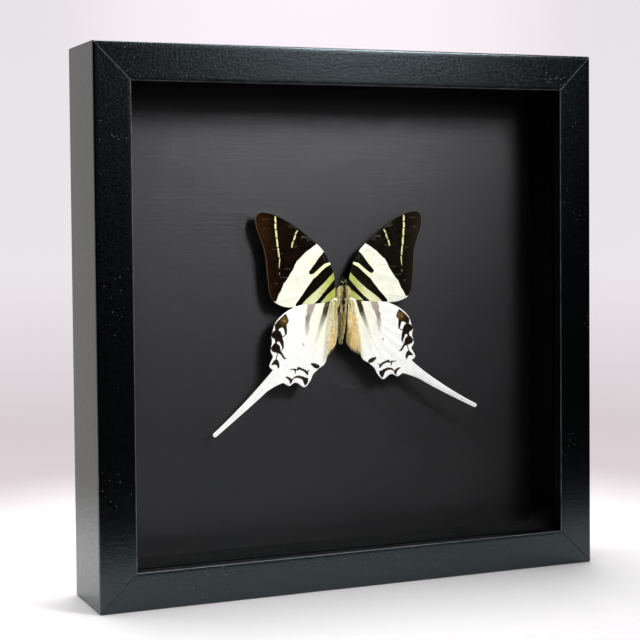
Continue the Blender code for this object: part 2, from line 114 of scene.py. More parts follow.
# Markings of the forewing. Areas are closed outlines; strokes are (out, up, half width).
WHITE_BAND = [(12.4, 23.2), (12.9, 22.0), (14.7, 20.9), (18.3, 18.5), (21.5, 15.4), (22.8, 14.5),
              (24.0, 12.5), (24.9, 10.4), (26.1, 8.7), (27.3, 6.9), (28.6, 5.0), (29.9, 3.8),
              (30.6, 1.9), (31.4, 0.2), (32.6, -1.6), (33.4, -3.6), (33.8, -4.6), (35.0, -4.4),
              (36.6, -3.4), (36.4, -5.0), (33.0, -8.0), (28.0, -9.0), (23.2, -8.5),
              (24.0, -6.2), (22.0, -3.6), (20.3, -1.5), (18.6, 0.8), (16.8, 3.0), (14.8, 5.6),
              (13.4, 6.6), (11.2, 8.6), (8.6, 10.9), (5.6, 12.4), (4.2, 12.6), (4.8, 14.0),
              (6.2, 13.4), (8.8, 12.7), (10.6, 11.3), (12.5, 9.7), (14.4, 8.2), (15.6, 7.7),
              (16.6, 8.1), (17.1, 9.0), (15.7, 10.7), (14.0, 12.6), (11.6, 15.8), (9.2, 18.4),
              (8.0, 18.6)]
GREEN_BAND = [(2.4, 9.2), (4.3, 8.5), (6.4, 6.4), (9.5, 3.4), (12.5, 0.8), (15.5, -1.6),
              (18.5, -4.1), (20.6, -6.2), (21.5, -8.5), (14.6, -7.5), (14.2, -6.0),
              (13.4, -5.2), (11.5, -3.4), (9.5, -1.1), (7.5, 1.1), (5.0, 3.9), (3.4, 5.9),
              (2.2, 6.6)]
BASAL_PATCH = [(2.2, 2.2), (3.4, 1.4), (5.0, -0.1), (7.5, -2.1), (9.6, -4.2), (11.2, -5.8),
               (3.0, -5.6)]
MARGIN_SPOTS = [[(33.4, 35.2, 0.35), (33.5, 34.0, 0.45), (33.3, 32.6, 0.39),
                 (33.5, 31.4, 0.45), (33.4, 29.4, 0.45)],
                [(33.3, 29.4, 0.43), (33.1, 27.2, 0.45), (33.0, 25.0, 0.39)],
                [(32.9, 25.2, 0.39), (32.7, 23.0, 0.41), (32.6, 20.8, 0.35)],
                [(32.4, 20.8, 0.35), (32.1, 18.4, 0.35), (31.9, 16.3, 0.29)],
                [(31.6, 15.4, 0.27), (31.8, 13.4, 0.23), (32.0, 11.2, 0.13)],
                [(31.9, 8.9, 0.13), (31.9, 8.2, 0.12)]]
APEX_SPOTS = [[(22.5, 28.6, 0.27), (23.0, 27.9, 0.35), (23.6, 26.9, 0.33), (23.8, 25.6, 0.39),
               (24.4, 24.3, 0.31)],
              [(24.8, 23.5, 0.31), (25.2, 22.3, 0.39), (25.4, 20.9, 0.29)]]
SPOT_GAPS = [[(31.8, 32.3, 0.24), (35.0, 32.4, 0.24)], [(31.8, 29.3, 0.24), (35.0, 29.3, 0.24)],
             [(31.6, 25.2, 0.24), (34.6, 25.3, 0.24)], [(31.4, 20.9, 0.24), (34.0, 20.9, 0.24)],
             [(30.8, 15.8, 0.22), (33.2, 16.0, 0.22)], [(22.2, 26.6, 0.20), (25.0, 27.2, 0.20)],
             [(23.4, 23.7, 0.24), (26.2, 24.2, 0.24)]]
# Pale stray scales, and short level streaks painted as glints on the dark ground.
STRAY_SCALES_AND_GLINTS = [[(17.0, 25.0, 0.16), (19.8, 25.8, 0.2)], [(16.0, 24.2, 0.14), (17.1, 24.4, 0.12)],
                [(26.6, 31.9, 0.12), (24.6, 30.6, 0.14), (22.6, 29.3, 0.10)],
                [(27.4, 31.2, 0.10), (25.2, 29.9, 0.12)], [(20.0, 25.6, 0.26), (20.4, 25.2, 0.26)],
                [(17.3, 23.9, 0.22), (17.5, 23.7, 0.2)], [(23.2, 21.2, 0.24), (23.5, 21.0, 0.24)],
                [(30.2, 18.2, 0.16), (30.4, 17.9, 0.16)], [(36.6, 34.4, 0.12), (39.8, 34.2, 0.10)],
                [(33.2, 20.0, 0.10), (35.2, 20.0, 0.10)], [(26.0, 10.6, 0.12), (29.0, 10.7, 0.10)],
                [(27.6, 6.6, 0.10), (31.4, 6.8, 0.12)], [(32.6, 3.8, 0.12), (34.0, 4.0, 0.14)],
                [(38.6, 30.0, 0.12), (40.0, 29.4, 0.10)], [(12.2, 20.4, 0.10), (10.8, 18.6, 0.12)],
                [(9.6, 16.6, 0.10), (8.4, 14.4, 0.12)]]

# Markings of the hindwing.
BLOCKS = [[(29.6, -10.3), (28.8, -11.8), (28.2, -13.4), (28.5, -14.2), (29.3, -15.0),
           (29.2, -16.4), (29.1, -18.3), (29.3, -19.8), (30.0, -19.0), (30.3, -17.4),
           (30.9, -16.4), (31.5, -16.2), (32.4, -16.6), (33.2, -17.2), (33.7, -17.9),
           (34.7, -17.5), (34.9, -16.2), (34.9, -15.0), (34.1, -14.2), (33.5, -13.4),
           (32.2, -12.3), (30.9, -11.3)],
          [(34.2, -17.2), (33.2, -17.7), (32.4, -18.4), (31.7, -19.7), (31.5, -20.9),
           (31.0, -22.8), (30.8, -24.4), (30.7, -25.6), (31.3, -26.3), (31.5, -25.3),
           (31.9, -24.4), (32.4, -23.3), (33.2, -22.5), (34.0, -22.8), (34.3, -23.8),
           (35.1, -23.8), (34.8, -22.8), (35.0, -21.6), (36.5, -20.7), (37.0, -19.6),
           (35.8, -18.3), (34.8, -17.6)],
          [(34.8, -23.5), (33.6, -24.2), (32.7, -25.1), (32.5, -26.3), (32.6, -27.4),
           (31.7, -28.0), (31.0, -29.3), (30.2, -30.5), (29.5, -30.9), (30.6, -30.9),
           (31.4, -29.9), (32.2, -28.7), (33.1, -28.2), (33.6, -27.9), (34.8, -27.8),
           (36.4, -27.1), (37.0, -25.9), (36.3, -24.7), (35.4, -23.8)],
          [(34.7, -31.0), (33.7, -31.6), (33.2, -32.7), (33.0, -34.2), (33.4, -35.2),
           (33.8, -34.3), (34.5, -33.4), (35.6, -33.2), (36.9, -33.4), (36.1, -32.2)],
          [(22.6, -39.4), (21.2, -39.6), (20.0, -40.2), (18.8, -40.4), (18.8, -41.9),
           (19.4, -43.0), (20.1, -43.6), (20.7, -42.8), (21.1, -41.6), (21.8, -40.7),
           (22.9, -40.1)]]
ARCS = [[(33.7, -27.9, 0.14), (34.2, -29.6, 0.03), (34.7, -31.4, 0.12)],
        [(29.3, -19.4, 0.14), (30.2, -20.2, 0.03), (31.5, -20.7, 0.10)],
        [(31.0, -25.8, 0.10), (31.8, -27.0, 0.04), (32.8, -27.4, 0.10)],
        [(27.6, -35.9, 0.02), (26.0, -35.9, 0.08), (25.1, -36.2, 0.46), (25.0, -37.0, 0.12),
         (25.0, -37.9, 0.02)],
        [(23.9, -36.1, 0.34), (23.5, -35.6, 0.46), (22.3, -35.9, 0.34), (20.3, -36.8, 0.38),
         (19.3, -37.6, 0.50), (18.9, -38.5, 0.30)], [(19.1, -37.7, 0.16), (18.0, -36.6, 0.02)],
        [(29.8, -39.3, 0.04), (28.8, -39.7, 0.36), (27.8, -40.4, 0.48), (27.2, -41.4, 0.50),
         (27.5, -42.5, 0.06)],
        [(27.2, -41.2, 0.32), (26.8, -40.8, 0.14), (25.5, -39.8, 0.16), (24.3, -39.5, 0.40),
         (22.8, -39.6, 0.48), (21.6, -40.1, 0.50)],
        [(16.6, -33.9, 0.34), (15.4, -34.5, 0.80), (14.4, -35.0, 0.95), (13.6, -35.2, 0.75),
         (13.1, -35.4, 0.30)]]
STREAKS = [[(7.9, -5.0, 1.0), (9.0, -8.4, 1.15), (9.8, -11.4, 1.1), (11.1, -14.6, 0.85),
            (12.6, -18.6, 0.6), (13.6, -21.4, 0.42), (14.6, -24.2, 0.15)]]
PATCHES = [[(16.2, -5.8, 1.9), (17.2, -9.0, 1.7), (17.6, -11.0, 1.1), (18.6, -13.2, 0.9),
            (18.7, -16.6, 1.1), (18.9, -20.0, 0.6)],
           [(20.8, -24.2, 0.5), (20.7, -25.2, 0.4)]]
PATCH_CORES = [[(17.9, -10.6, 0.3), (18.9, -12.0, 0.7), (19.0, -13.0, 0.5)],
               [(17.0, -11.2, 0.15), (17.8, -13.2, 0.45), (18.6, -14.4, 0.25)],
               [(20.8, -24.4, 0.3), (20.7, -25.0, 0.3)]]
EYE_GLOW = (30.0, -13.4, 2.0)

# Veins, as paths from the root to the margin.
FORE_VEINS = [[(3.8, 5.0), (8.0, 13.0), (18.0, 24.8), (27.0, 31.8)],
              [(4.0, 5.4), (12.0, 17.6), (23.5, 25.6), (42.6, 34.6)],
              [(19.0, 22.4), (31.0, 34.0)], [(23.5, 25.6), (38.6, 36.9)],
              [(24.2, 23.0), (33.0, 25.8), (42.2, 28.6)], [(24.4, 20.2), (32.0, 21.4), (39.9, 21.9)],
              [(23.0, 16.0), (31.0, 16.0), (38.6, 15.2)], [(20.0, 12.0), (29.0, 10.6), (38.0, 8.8)],
              [(15.0, 8.2), (26.0, 5.0), (37.2, 0.6)],
              [(3.6, 2.6), (9.0, 1.6), (20.0, -2.4), (33.6, -5.0)],
              [(3.8, 4.2), (12.0, 6.4), (20.0, 12.0), (23.0, 16.0), (24.4, 20.2), (23.5, 25.6)]]
HIND_VEINS = [[(4.0, -4.2), (18.0, -7.6), (33.6, -13.6)],
              [(3.8, -4.6), (11.0, -9.0), (18.0, -13.8), (28.0, -16.6), (36.4, -20.4)],
              [(18.4, -16.6), (28.0, -22.0), (36.8, -27.4)],
              [(18.0, -19.0), (27.0, -26.4), (37.2, -34.2)],
              [(16.4, -21.2), (24.0, -29.6), (36.6, -40.2)],
              [(13.2, -21.6), (20.0, -32.0), (28.4, -43.0)],
              [(11.0, -17.0), (15.0, -29.0), (20.4, -44.0)],
              [(3.6, -8.0), (7.0, -20.0), (12.6, -35.2)],
              [(18.0, -13.8), (18.5, -16.6), (16.4, -21.2), (13.2, -21.6), (8.6, -13.0),
               (3.8, -5.4)]]

# The body's sections, as level, half width and half depth, then its rings, eyes and hair.
BODY_SECTIONS = [(6.2, 0.2, 0.2), (5.9, 0.9, 0.9), (5.2, 1.4, 1.4), (4.2, 1.6, 1.6),
                 (3.3, 1.3, 1.4), (2.8, 1.5, 1.7), (1.5, 2.1, 2.5), (-0.8, 2.35, 2.9),
                 (-3.2, 2.35, 2.9), (-5.4, 2.1, 2.5), (-6.8, 1.7, 2.0), (-8.6, 1.8, 2.1),
                 (-12.0, 1.9, 2.2), (-16.0, 1.8, 2.1), (-19.5, 1.5, 1.8), (-22.6, 1.05, 1.3),
                 (-24.4, 0.6, 0.7), (-25.2, 0.2, 0.2)]
ABDOMEN_TOP = -8.0
RING_LENGTH = 2.3
RING_SWELL = 0.10
SKIN_DEPTH = 0.12
EYE_LEVEL = 4.3
EYE_TURN = 1.15
EYE_SUNK = 0.55
EYE_RADII = (0.62, 0.72, 0.8)
COAT_HAIRS = 3600
TUFT_HAIRS = 420
FAN_LEVEL = 8.15
FANS = {
    "left": {"hairs": 1500, "roots": [(-1.8, 133.0), (-3.3, 133.4), (-4.6, 132.8)],
             "tips": [(-2.3, 113.4), (-3.1, 111.4), (-4.3, 109.4), (-5.9, 107.8), (-7.4, 105.4),
                      (-8.8, 103.0)]},
    "right": {"hairs": 1600, "roots": [(4.6, 132.8), (6.2, 133.0), (7.6, 132.4)],
              "tips": [(3.4, 112.8), (4.8, 110.6), (6.4, 109.0), (8.4, 108.0), (10.6, 107.0),
                       (12.2, 105.2)]},
}

# The sheets of the wings: the size of their mesh, their thickness and their veins' relief.
SHEET_STEP = 0.24
SHEET_THICKNESS = 0.14
OUTLINE_STEPS = 7
VEIN_RISE = 0.07
VEIN_WIDTH = 0.22
TROUGH_DEPTH = 0.10
TROUGH_WIDTH = 2.2
CRUMPLE = 0.06


# ---------------------------------------------------------------- materials

class Nodes:
    """Short ways to add nodes to a tree."""

    def __init__(self, tree):
        self.tree = tree

    def node(self, kind, inputs=None, **settings):
        made = self.tree.nodes.new(kind)
        for key, value in settings.items():
            setattr(made, key, value)
        for key, value in (inputs or {}).items():
            self.feed(made.inputs[key], value)
        return made

    def feed(self, socket, value):
        if isinstance(value, bpy.types.NodeSocket):
            self.tree.links.new(value, socket)
        elif isinstance(value, tuple) and len(value) == 3 and socket.type == "RGBA":
            socket.default_value = (*value, 1.0)
        else:
            socket.default_value = value

    def math(self, operation, first, second):
        return self.node("ShaderNodeMath", {0: first, 1: second}, operation=operation).outputs[0]

    def times(self, first, second):
        return self.math("MULTIPLY", first, second)

    def plus(self, first, second):
        return self.math("ADD", first, second)

    def most(self, first, second):
        return self.math("MAXIMUM", first, second)

    def mix(self, share, first, second):
        made = self.node("ShaderNodeMix", {0: share, 6: first, 7: second}, data_type="RGBA")
        return made.outputs[2]

    def span(self, value, low, high, start=0.0, end=1.0, curve="SMOOTHSTEP"):
        """A step of a value from low to high, as start to end."""
        made = self.node("ShaderNodeMapRange", interpolation_type=curve)
        for index, item in enumerate((value, low, high, start, end)):
            self.feed(made.inputs[index], item)
        return made.outputs[0]


class Shader(Nodes):
    """Builds the nodes of one material round its Principled shader."""

    def __init__(self, name):
        self.material = bpy.data.materials.new(name)
        self.material.use_nodes = True
        super().__init__(self.material.node_tree)
        self.surface = self.tree.nodes["Principled BSDF"]
        self.place = self.node("ShaderNodeTexCoord").outputs["Object"]

    def set(self, **values):
        for key, value in values.items():
            self.feed(self.surface.inputs[key.replace("_", " ")], value)

    def scaled(self, stretch):
        return self.node("ShaderNodeMapping", {"Scale": stretch, "Vector": self.place}).outputs[0]

    def noise(self, scale, detail=2.0, roughness=0.5, stretch=(1.0, 1.0, 1.0)):
        inputs = {"Scale": scale, "Detail": detail, "Roughness": roughness,
                  "Vector": self.scaled(stretch)}
        return self.node("ShaderNodeTexNoise", inputs).outputs[0]

    def cells(self, scale):
        """Distance to the nearest of many scattered points."""
        inputs = {"Scale": scale, "Vector": self.scaled((1.0, 1.0, 1.0))}
        return self.node("ShaderNodeTexVoronoi", inputs).outputs["Distance"]

    def attribute(self, name):
        return self.node("ShaderNodeAttribute", attribute_name=name)

    def value(self, name):
        return self.attribute(name).outputs["Fac"]

    def bump(self, height, distance, strength):
        inputs = {"Strength": strength, "Distance": distance, "Height": height}
        self.set(Normal=self.node("ShaderNodeBump", inputs).outputs[0])


def skin_material():
    """Black satin skin of the moulding: orange-peel grain, rubbed arrises with a painted highlight,
    and a little dust.
    """
    s = Shader("moulding_skin")
    grain = s.noise(900.0, 3.0, 0.6)
    fine = s.noise(2600.0, 1.5, 0.5)
    cloud = s.noise(22.0, 3.0, 0.6)
    speck = s.cells(460.0)
    dust = s.times(s.span(speck, 0.135, 0.070), s.span(s.noise(60.0, 2.0), 0.50, 0.64))
    patchy = s.span(s.noise(140.0, 3.0, 0.6), 0.30, 0.62, 0.25, 0.95)
    # The pale arris colour is partly rubbed foil and partly a painted highlight line on the arrises
    # and top mitres.
    rubbed_and_lit = s.times(s.span(s.value("rub"), 0.50, 0.92), patchy)
    black = s.mix(cloud, (0.0006, 0.0008, 0.0009), (0.0012, 0.0015, 0.0016))
    black = s.mix(rubbed_and_lit, black, (0.17, 0.17, 0.175))
    dull = s.times(s.most(dust, rubbed_and_lit), 0.4)
    s.set(Base_Color=s.mix(dust, black, (0.16, 0.165, 0.165)), Specular_IOR_Level=0.8,
          Specular_Tint=(0.77, 0.92, 0.99),
          Roughness=s.plus(s.span(grain, 0.3, 0.7, 0.18, 0.27), dull))
    s.bump(s.plus(grain, s.times(fine, 0.35)), 0.00009, 0.7)
    return s.material


def liner_material():
    """Matte black paper on the strips between the pane and the board."""
    s = Shader("liner_paper")
    fibre = s.noise(1500.0, 3.0, 0.6)
    cloud = s.noise(40.0, 2.0, 0.5)
    s.set(Base_Color=s.mix(cloud, (0.0006, 0.0007, 0.001), (0.0016, 0.0018, 0.0024)),
          Roughness=s.span(fibre, 0.3, 0.7, 0.78, 0.92), Specular_IOR_Level=0.12)
    s.bump(fibre, 0.00006, 0.5)
    return s.material


def board_material():
    """Dark grey paper with fine level fibres and a low sheen."""
    s = Shader("board_paper")
    fibre = s.noise(1.0, 4.0, 0.62, (170.0, 400.0, 1900.0))
    long_fibre = s.noise(1.0, 2.0, 0.5, (45.0, 400.0, 850.0))
    tooth = s.noise(1900.0, 2.0, 0.6)
    cloud = s.noise(13.0, 3.0, 0.55)
    speck = s.cells(210.0)
    fleck = s.times(s.span(speck, 0.07, 0.03), s.span(s.noise(90.0, 1.0), 0.55, 0.72))
    ground = s.mix(cloud, (0.0013, 0.0013, 0.0016), (0.0021, 0.0021, 0.0025))
    threads = s.mix(s.span(fibre, 0.42, 0.68), ground, (0.0060, 0.0060, 0.0068))
    s.set(Base_Color=s.mix(s.times(fleck, 0.5), threads, (0.06, 0.06, 0.065)),
          Roughness=s.plus(s.span(long_fibre, 0.3, 0.7, 0.455, 0.515),
                           s.span(fibre, 0.35, 0.65, -0.02, 0.03)),
          Specular_IOR_Level=0.6, Specular_Tint=(0.95, 0.95, 1.0))
    height = s.plus(s.times(fibre, 0.8), s.times(tooth, 0.4))
    s.bump(s.plus(height, s.times(long_fibre, 0.9)), 0.00010, 0.7)
    return s.material


def glass_material():
    """Clear, coated picture glass that mirrors very little."""
    s = Shader("clear_glass")
    smear = s.noise(9.0, 3.0, 0.6)
    s.set(Base_Color=(1.0, 1.0, 1.0), Roughness=s.span(smear, 0.45, 0.8, 0.0, 0.03),
          IOR=1.1, Transmission_Weight=1.0)
    return s.material


def hardboard_material():
    s = Shader("brown_hardboard")
    fibre = s.noise(420.0, 5.0, 0.7, (1.0, 1.0, 1.6))
    cloud = s.noise(18.0, 3.0, 0.6)
    chip = s.cells(900.0)
    brown = s.mix(fibre, (0.085, 0.045, 0.022), (0.24, 0.145, 0.075))
    s.set(Base_Color=s.mix(s.times(cloud, 0.5), brown, (0.12, 0.068, 0.035)),
          Roughness=s.span(fibre, 0.3, 0.7, 0.55, 0.8), Specular_IOR_Level=0.3)
    s.bump(s.plus(fibre, s.times(chip, 0.4)), 0.00012, 0.6)
    return s.material


def steel_material():
    s = Shader("zinc_steel")
    brushed = s.noise(1.0, 3.0, 0.6, (3000.0, 900.0, 300.0))
    spangle = s.cells(700.0)
    tone = s.mix(spangle, (0.50, 0.51, 0.53), (0.68, 0.69, 0.70))
    s.set(Base_Color=s.mix(s.span(s.noise(160.0, 2.0), 0.55, 0.75), tone, (0.34, 0.33, 0.31)),
          Metallic=1.0, Roughness=s.span(brushed, 0.3, 0.7, 0.24, 0.42))
    s.bump(brushed, 0.00002, 0.5)
    return s.material


def scales(s):
    """Rows of tiny overlapping scales, as a height."""
    rows = s.noise(1.0, 2.0, 0.5, (5200.0, 800.0, 3400.0))
    return s.plus(rows, s.noise(1400.0, 2.0, 0.6))


def soft(s, name, low, high, wobble):
    """A marking's share from its distance inside, with an edge of single scales."""
    return s.span(s.plus(s.value(name), wobble), low, high)


def forewing_material(label, dull, outer):
    s = Shader(f"forewing_{label}_scales")
    wobble = s.times(s.math("SUBTRACT", s.noise(2600.0, 2.0, 0.6), 0.5), 0.5)
    tuft = s.noise(420.0, 3.0, 0.6)
    rays = s.noise(1.0, 3.0, 0.6, (260.0, 300.0, 900.0))
    # The ground browns come from the caller; the right wing's hold painted sheen.
    ground = s.mix(s.span(tuft, 0.3, 0.7), dull[0], dull[1])
    warmth = s.value("outer")
    ground = s.mix(warmth, ground, outer)
    lighter = s.times(s.span(rays, 0.58, 0.74), s.span(warmth, 0.15, 0.6, 0.1, 0.5))
    ground = s.mix(lighter, ground, tuple(c * 1.9 for c in outer))
    base = s.times(s.value("base"), s.span(tuft, 0.35, 0.65))
    ground = s.mix(base, ground, (0.0052, 0.0050, 0.0022))
    vein = s.span(s.value("vein"), 0.30, 0.10)
    ground = s.mix(s.times(vein, 0.5), ground, tuple(c * 2.2 for c in dull[1]))
    # A pale line along the wing's edge: partly the real fringe, partly a painted glint.
    edge = s.span(s.value("edge"), 0.38, 0.10)
    ground = s.mix(s.times(edge, s.value("fringe_and_glint")), ground, (0.12, 0.105, 0.090))
    # Pale stray scales and painted glints.
    stray = soft(s, "stray", -0.08, 0.10, wobble)
    ground = s.mix(s.times(stray, 0.7), ground, (0.16, 0.14, 0.12))
    white = s.mix(s.span(tuft, 0.3, 0.7), (0.76, 0.765, 0.63), (0.84, 0.84, 0.73))
    white = s.mix(s.times(vein, 0.30), white, (0.42, 0.42, 0.30))
    green = s.mix(s.span(s.value("outward"), 5.0, 15.0), (0.36, 0.39, 0.085), (0.66, 0.67, 0.40))
    green = s.mix(s.times(s.span(rays, 0.5, 0.7), 0.25), green, (0.22, 0.24, 0.05))
    white = s.mix(s.value("finger"), white, (0.74, 0.76, 0.47))
    spot = s.mix(s.span(tuft, 0.3, 0.7), (0.56, 0.57, 0.24), (0.72, 0.73, 0.38))
    colour = s.mix(soft(s, "white", -0.10, 0.10, wobble), ground, white)
    colour = s.mix(soft(s, "green", -0.10, 0.12, wobble), colour, green)
    colour = s.mix(s.span(s.value("spot"), -0.07, 0.07), colour, spot)
    s.set(Base_Color=colour, Roughness=s.span(tuft, 0.3, 0.7, 0.62, 0.8),
          Specular_IOR_Level=0.01)
    s.bump(scales(s), 0.00004, 0.5)
    return s.material


def hindwing_material(label):
    s = Shader(f"hindwing_{label}_scales")
    wobble = s.times(s.math("SUBTRACT", s.noise(2200.0, 2.0, 0.6), 0.5), 0.6)
    tuft = s.noise(380.0, 3.0, 0.6)
    white = s.mix(s.span(tuft, 0.3, 0.7), (0.84, 0.838, 0.82), (0.90, 0.898, 0.88))
    vein = s.span(s.value("vein"), 0.30, 0.08)
    white = s.mix(s.times(vein, 0.10), white, (0.58, 0.55, 0.45))
    white = s.mix(s.times(s.value("cream"), 0.8), white, (0.78, 0.76, 0.56))
    patch = s.times(soft(s, "patch", -0.5, 0.5, wobble), s.value("fade"))
    white = s.mix(patch, white, (0.27, 0.225, 0.18))
    core = s.times(soft(s, "core", -0.35, 0.3, wobble), 0.75)
    white = s.mix(core, white, (0.15, 0.125, 0.10))
    streak = s.times(soft(s, "streak", -0.5, 0.1, wobble), s.value("streak_fade"))
    olive = s.mix(s.span(tuft, 0.4, 0.6), (0.022, 0.019, 0.006), (0.085, 0.078, 0.040))
    white = s.mix(streak, white, olive)
    brown = s.mix(s.span(tuft, 0.3, 0.7), (0.0062, 0.0034, 0.0018), (0.019, 0.0105, 0.0052))
    brown = s.mix(s.value("olive_tint"), brown, (0.019, 0.015, 0.006))
    glow = s.value("glow")
    brown = s.mix(glow, brown, (0.11, 0.060, 0.008))
    fleck = s.times(s.span(s.noise(900.0, 2.0), 0.56, 0.64), s.span(glow, 0.35, 0.8))
    brown = s.mix(fleck, brown, (0.44, 0.31, 0.17))
    colour = s.mix(soft(s, "dark", -0.34, -0.04, wobble), white, brown)
    s.set(Base_Color=colour, Roughness=s.span(tuft, 0.3, 0.7, 0.6, 0.8),
          Specular_IOR_Level=0.02)
    s.bump(scales(s), 0.00004, 0.5)
    return s.material


def strand_material():
    """Hair: each strand carries its own colour."""
    s = Shader("insect_hair")
    band = s.noise(700.0, 2.0, 0.5)
    own = s.attribute("strand").outputs["Color"]
    darker = s.mix(0.20, own, (0.0, 0.0, 0.0))
    s.set(Base_Color=s.mix(s.span(band, 0.35, 0.65), darker, own),
          Roughness=s.span(band, 0.3, 0.7, 0.5, 0.68), Specular_IOR_Level=0.04)
    return s.material


def body_material():
    s = Shader("body_cuticle")
    grain = s.noise(900.0, 3.0, 0.6)
    own = s.attribute("strand").outputs["Color"]
    s.set(Base_Color=s.mix(s.span(grain, 0.35, 0.65), s.mix(0.5, own, (0.0, 0.0, 0.0)), own),
          Roughness=s.span(grain, 0.3, 0.7, 0.55, 0.75), Specular_IOR_Level=0.04)
    s.bump(grain, 0.00012, 0.8)
    return s.material


def eye_material():
    s = Shader("compound_eye")
    facets = s.cells(9000.0)
    s.set(Base_Color=s.mix(facets, (0.006, 0.004, 0.003), (0.02, 0.012, 0.008)),
          Roughness=s.span(facets, 0.0, 0.7, 0.18, 0.3))
    s.bump(facets, 0.00003, 0.5)
    return s.material


# ---------------------------------------------------------------- shapes

def mesh_object(name, points, faces, material, smooth=True):
    mesh = bpy.data.meshes.new(name)
    mesh.from_pydata([tuple(p) for p in points], [], faces)
    mesh.materials.append(material)
    if smooth:
        mesh.shade_smooth()
    made = bpy.data.objects.new(name, mesh)
    bpy.context.scene.collection.objects.link(made)
    return made


def set_values(made, name, values):
    layer = made.data.attributes.new(name, "FLOAT", "POINT")
    layer.data.foreach_set("value", np.asarray(values, np.float32))


def set_colours(made, colours):
    """Each point's own colour, which the hair's materials read."""
    layer = made.data.attributes.new("strand", "FLOAT_COLOR", "POINT")
    layer.data.foreach_set("color", np.array([(*c, 1.0) for c in colours], np.float32).ravel())


def ring_faces(rings, sides, first=0):
    """The faces between rings of points, each ring joined to the next."""
    faces = []
    for low in range(first, first + (rings - 1) * sides, sides):
        for step in range(sides):
            following = (step + 1) % sides
            faces.append((low + step, low + following, low + sides + following, low + sides + step))
    return faces


def flipped(faces):
    """The same faces, turned to face the other way."""
    return [face[:1] + face[:0:-1] for face in faces]


def smooth_outline(points, steps):
    """A closed Catmull-Rom curve through given points."""
    p = np.array(points, float)
    before, after, last = np.roll(p, 1, 0), np.roll(p, -1, 0), np.roll(p, -2, 0)
    curve = []
    for step in range(steps):
        t = step / steps
        curve.append(0.5 * (2 * p + (after - before) * t
                            + (2 * before - 5 * p + 4 * after - last) * t ** 2
                            + (3 * p - before - 3 * after + last) * t ** 3))
    return np.stack(curve, 1).reshape(-1, 2)


def tail_line(angles):
    """The tail's middle line and its directions, from its root to its tip."""
    middle = np.array(TAIL_START)
    count = len(TAIL_HALF_WIDTHS)
    line = []
    for index in range(count):
        angle = math.radians(angles[0] + (angles[1] - angles[0]) * index / (count - 1))
        direction = np.array((math.cos(angle), math.sin(angle)))
        line.append((middle, direction))
        middle = middle + direction * TAIL_LENGTH / (count - 1)
    return line


def tail_outline(angles):
    upper, lower = [], []
    line = tail_line(angles)
    for (middle, direction), half_width in zip(line, TAIL_HALF_WIDTHS):
        normal = np.array((-direction[1], direction[0]))
        upper.append(middle + normal * half_width)
        lower.append(middle - normal * half_width)
    middle, direction = line[-1]
    radius = TAIL_HALF_WIDTHS[-1]
    tip = []
    for index in range(1, TAIL_TIP_STEPS):
        turn = math.pi * index / TAIL_TIP_STEPS
        tip.append(middle + normal * radius * math.cos(turn) + direction * radius * math.sin(turn))
    return upper[1:] + tip + lower[:0:-1]


def nearest_on(points, path):
    """Distance to a path's nearest segment, that segment's index and the share along it."""
    best = np.full(len(points), np.inf)
    which = np.zeros(len(points), int)
    share = np.zeros(len(points))
    for index, (start, end) in enumerate(zip(path[:-1], path[1:])):
        edge = end - start
        t = np.clip((points - start) @ edge / max(edge @ edge, 1e-12), 0, 1)
        away = np.hypot(*(points - start - t[:, None] * edge).T)
        nearer = away < best
        best[nearer] = away[nearer]
        which[nearer] = index
        share[nearer] = t[nearer]
    return best, which, share


def inside(points, outline):
    x, y = points.T
    found = np.zeros(len(points), bool)
    for (ax, ay), (bx, by) in zip(outline, np.roll(outline, -1, 0)):
        if ay != by:
            found ^= ((ay > y) != (by > y)) & (x < (bx - ax) * (y - ay) / (by - ay) + ax)
    return found


def area_depth(points, outline):
    """How far inside a closed outline each point is; negative outside."""
    outline = np.array(outline, float)
    away, _, _ = nearest_on(points, np.vstack((outline, outline[:1])))
    return np.where(inside(points, outline), away, -away)


def stroke_depth(points, stroke):
    """The same for a stroke of changing half width."""
    stroke = np.array(stroke, float)
    depth = np.full(len(points), -np.inf)
    for start, end in zip(stroke[:-1], stroke[1:]):
        edge = end[:2] - start[:2]
        t = np.clip((points - start[:2]) @ edge / (edge @ edge), 0, 1)
        away = np.hypot(*(points - start[:2] - t[:, None] * edge).T)
        depth = np.maximum(depth, start[2] + (end[2] - start[2]) * t - away)
    return depth


def deepest(points, areas=(), strokes=()):
    found = [area_depth(points, area) for area in areas]
    found += [stroke_depth(points, stroke) for stroke in strokes]
    return np.max(found, axis=0)


def sheet_grid(outline, step):
    """A fine square grid inside an outline, its border snapped to the outline."""
    low = outline.min(0) - step
    count = np.ceil((outline.max(0) + step - low) / step).astype(int)
    i, j = np.meshgrid(np.arange(count[0]), np.arange(count[1]), indexing="ij")
    centres = low + (np.stack((i, j), -1).reshape(-1, 2) + 0.5) * step
    kept = inside(centres, outline).reshape(count)
    around = np.zeros((count[0] + 1, count[1] + 1), int)
    for di in (0, 1):
        for dj in (0, 1):
            around[di:di + count[0], dj:dj + count[1]] += kept
    used = around > 0
    index = np.full(used.shape, -1)
    index[used] = np.arange(used.sum())
    flat = low + np.argwhere(used) * step
    border = around[used] < 4
    closed = np.vstack((outline, outline[:1]))
    _, which, share = nearest_on(flat[border], closed)
    flat[border] = closed[which] + (closed[which + 1] - closed[which]) * share[:, None]
    cells = np.argwhere(kept)
    a, b = cells.T
    quads = np.stack((index[a, b], index[a + 1, b], index[a + 1, b + 1], index[a, b + 1]), -1)
    return flat, quads


def open_edges(quads):
    edges = np.concatenate([quads[:, [k, (k + 1) % 4]] for k in range(4)])
    known = set(map(tuple, edges))
    return [edge for edge in map(tuple, edges) if (edge[1], edge[0]) not in known]


def forewing_height(flat, side):
    """How far the forewing stands off the board; both sides are alike."""
    reach = flat[:, 0] / FOREWING_REACH
    return FOREWING_LEVEL + FOREWING_TILT * reach - FOREWING_DROOP * reach * flat[:, 1] / FOREWING_RISE


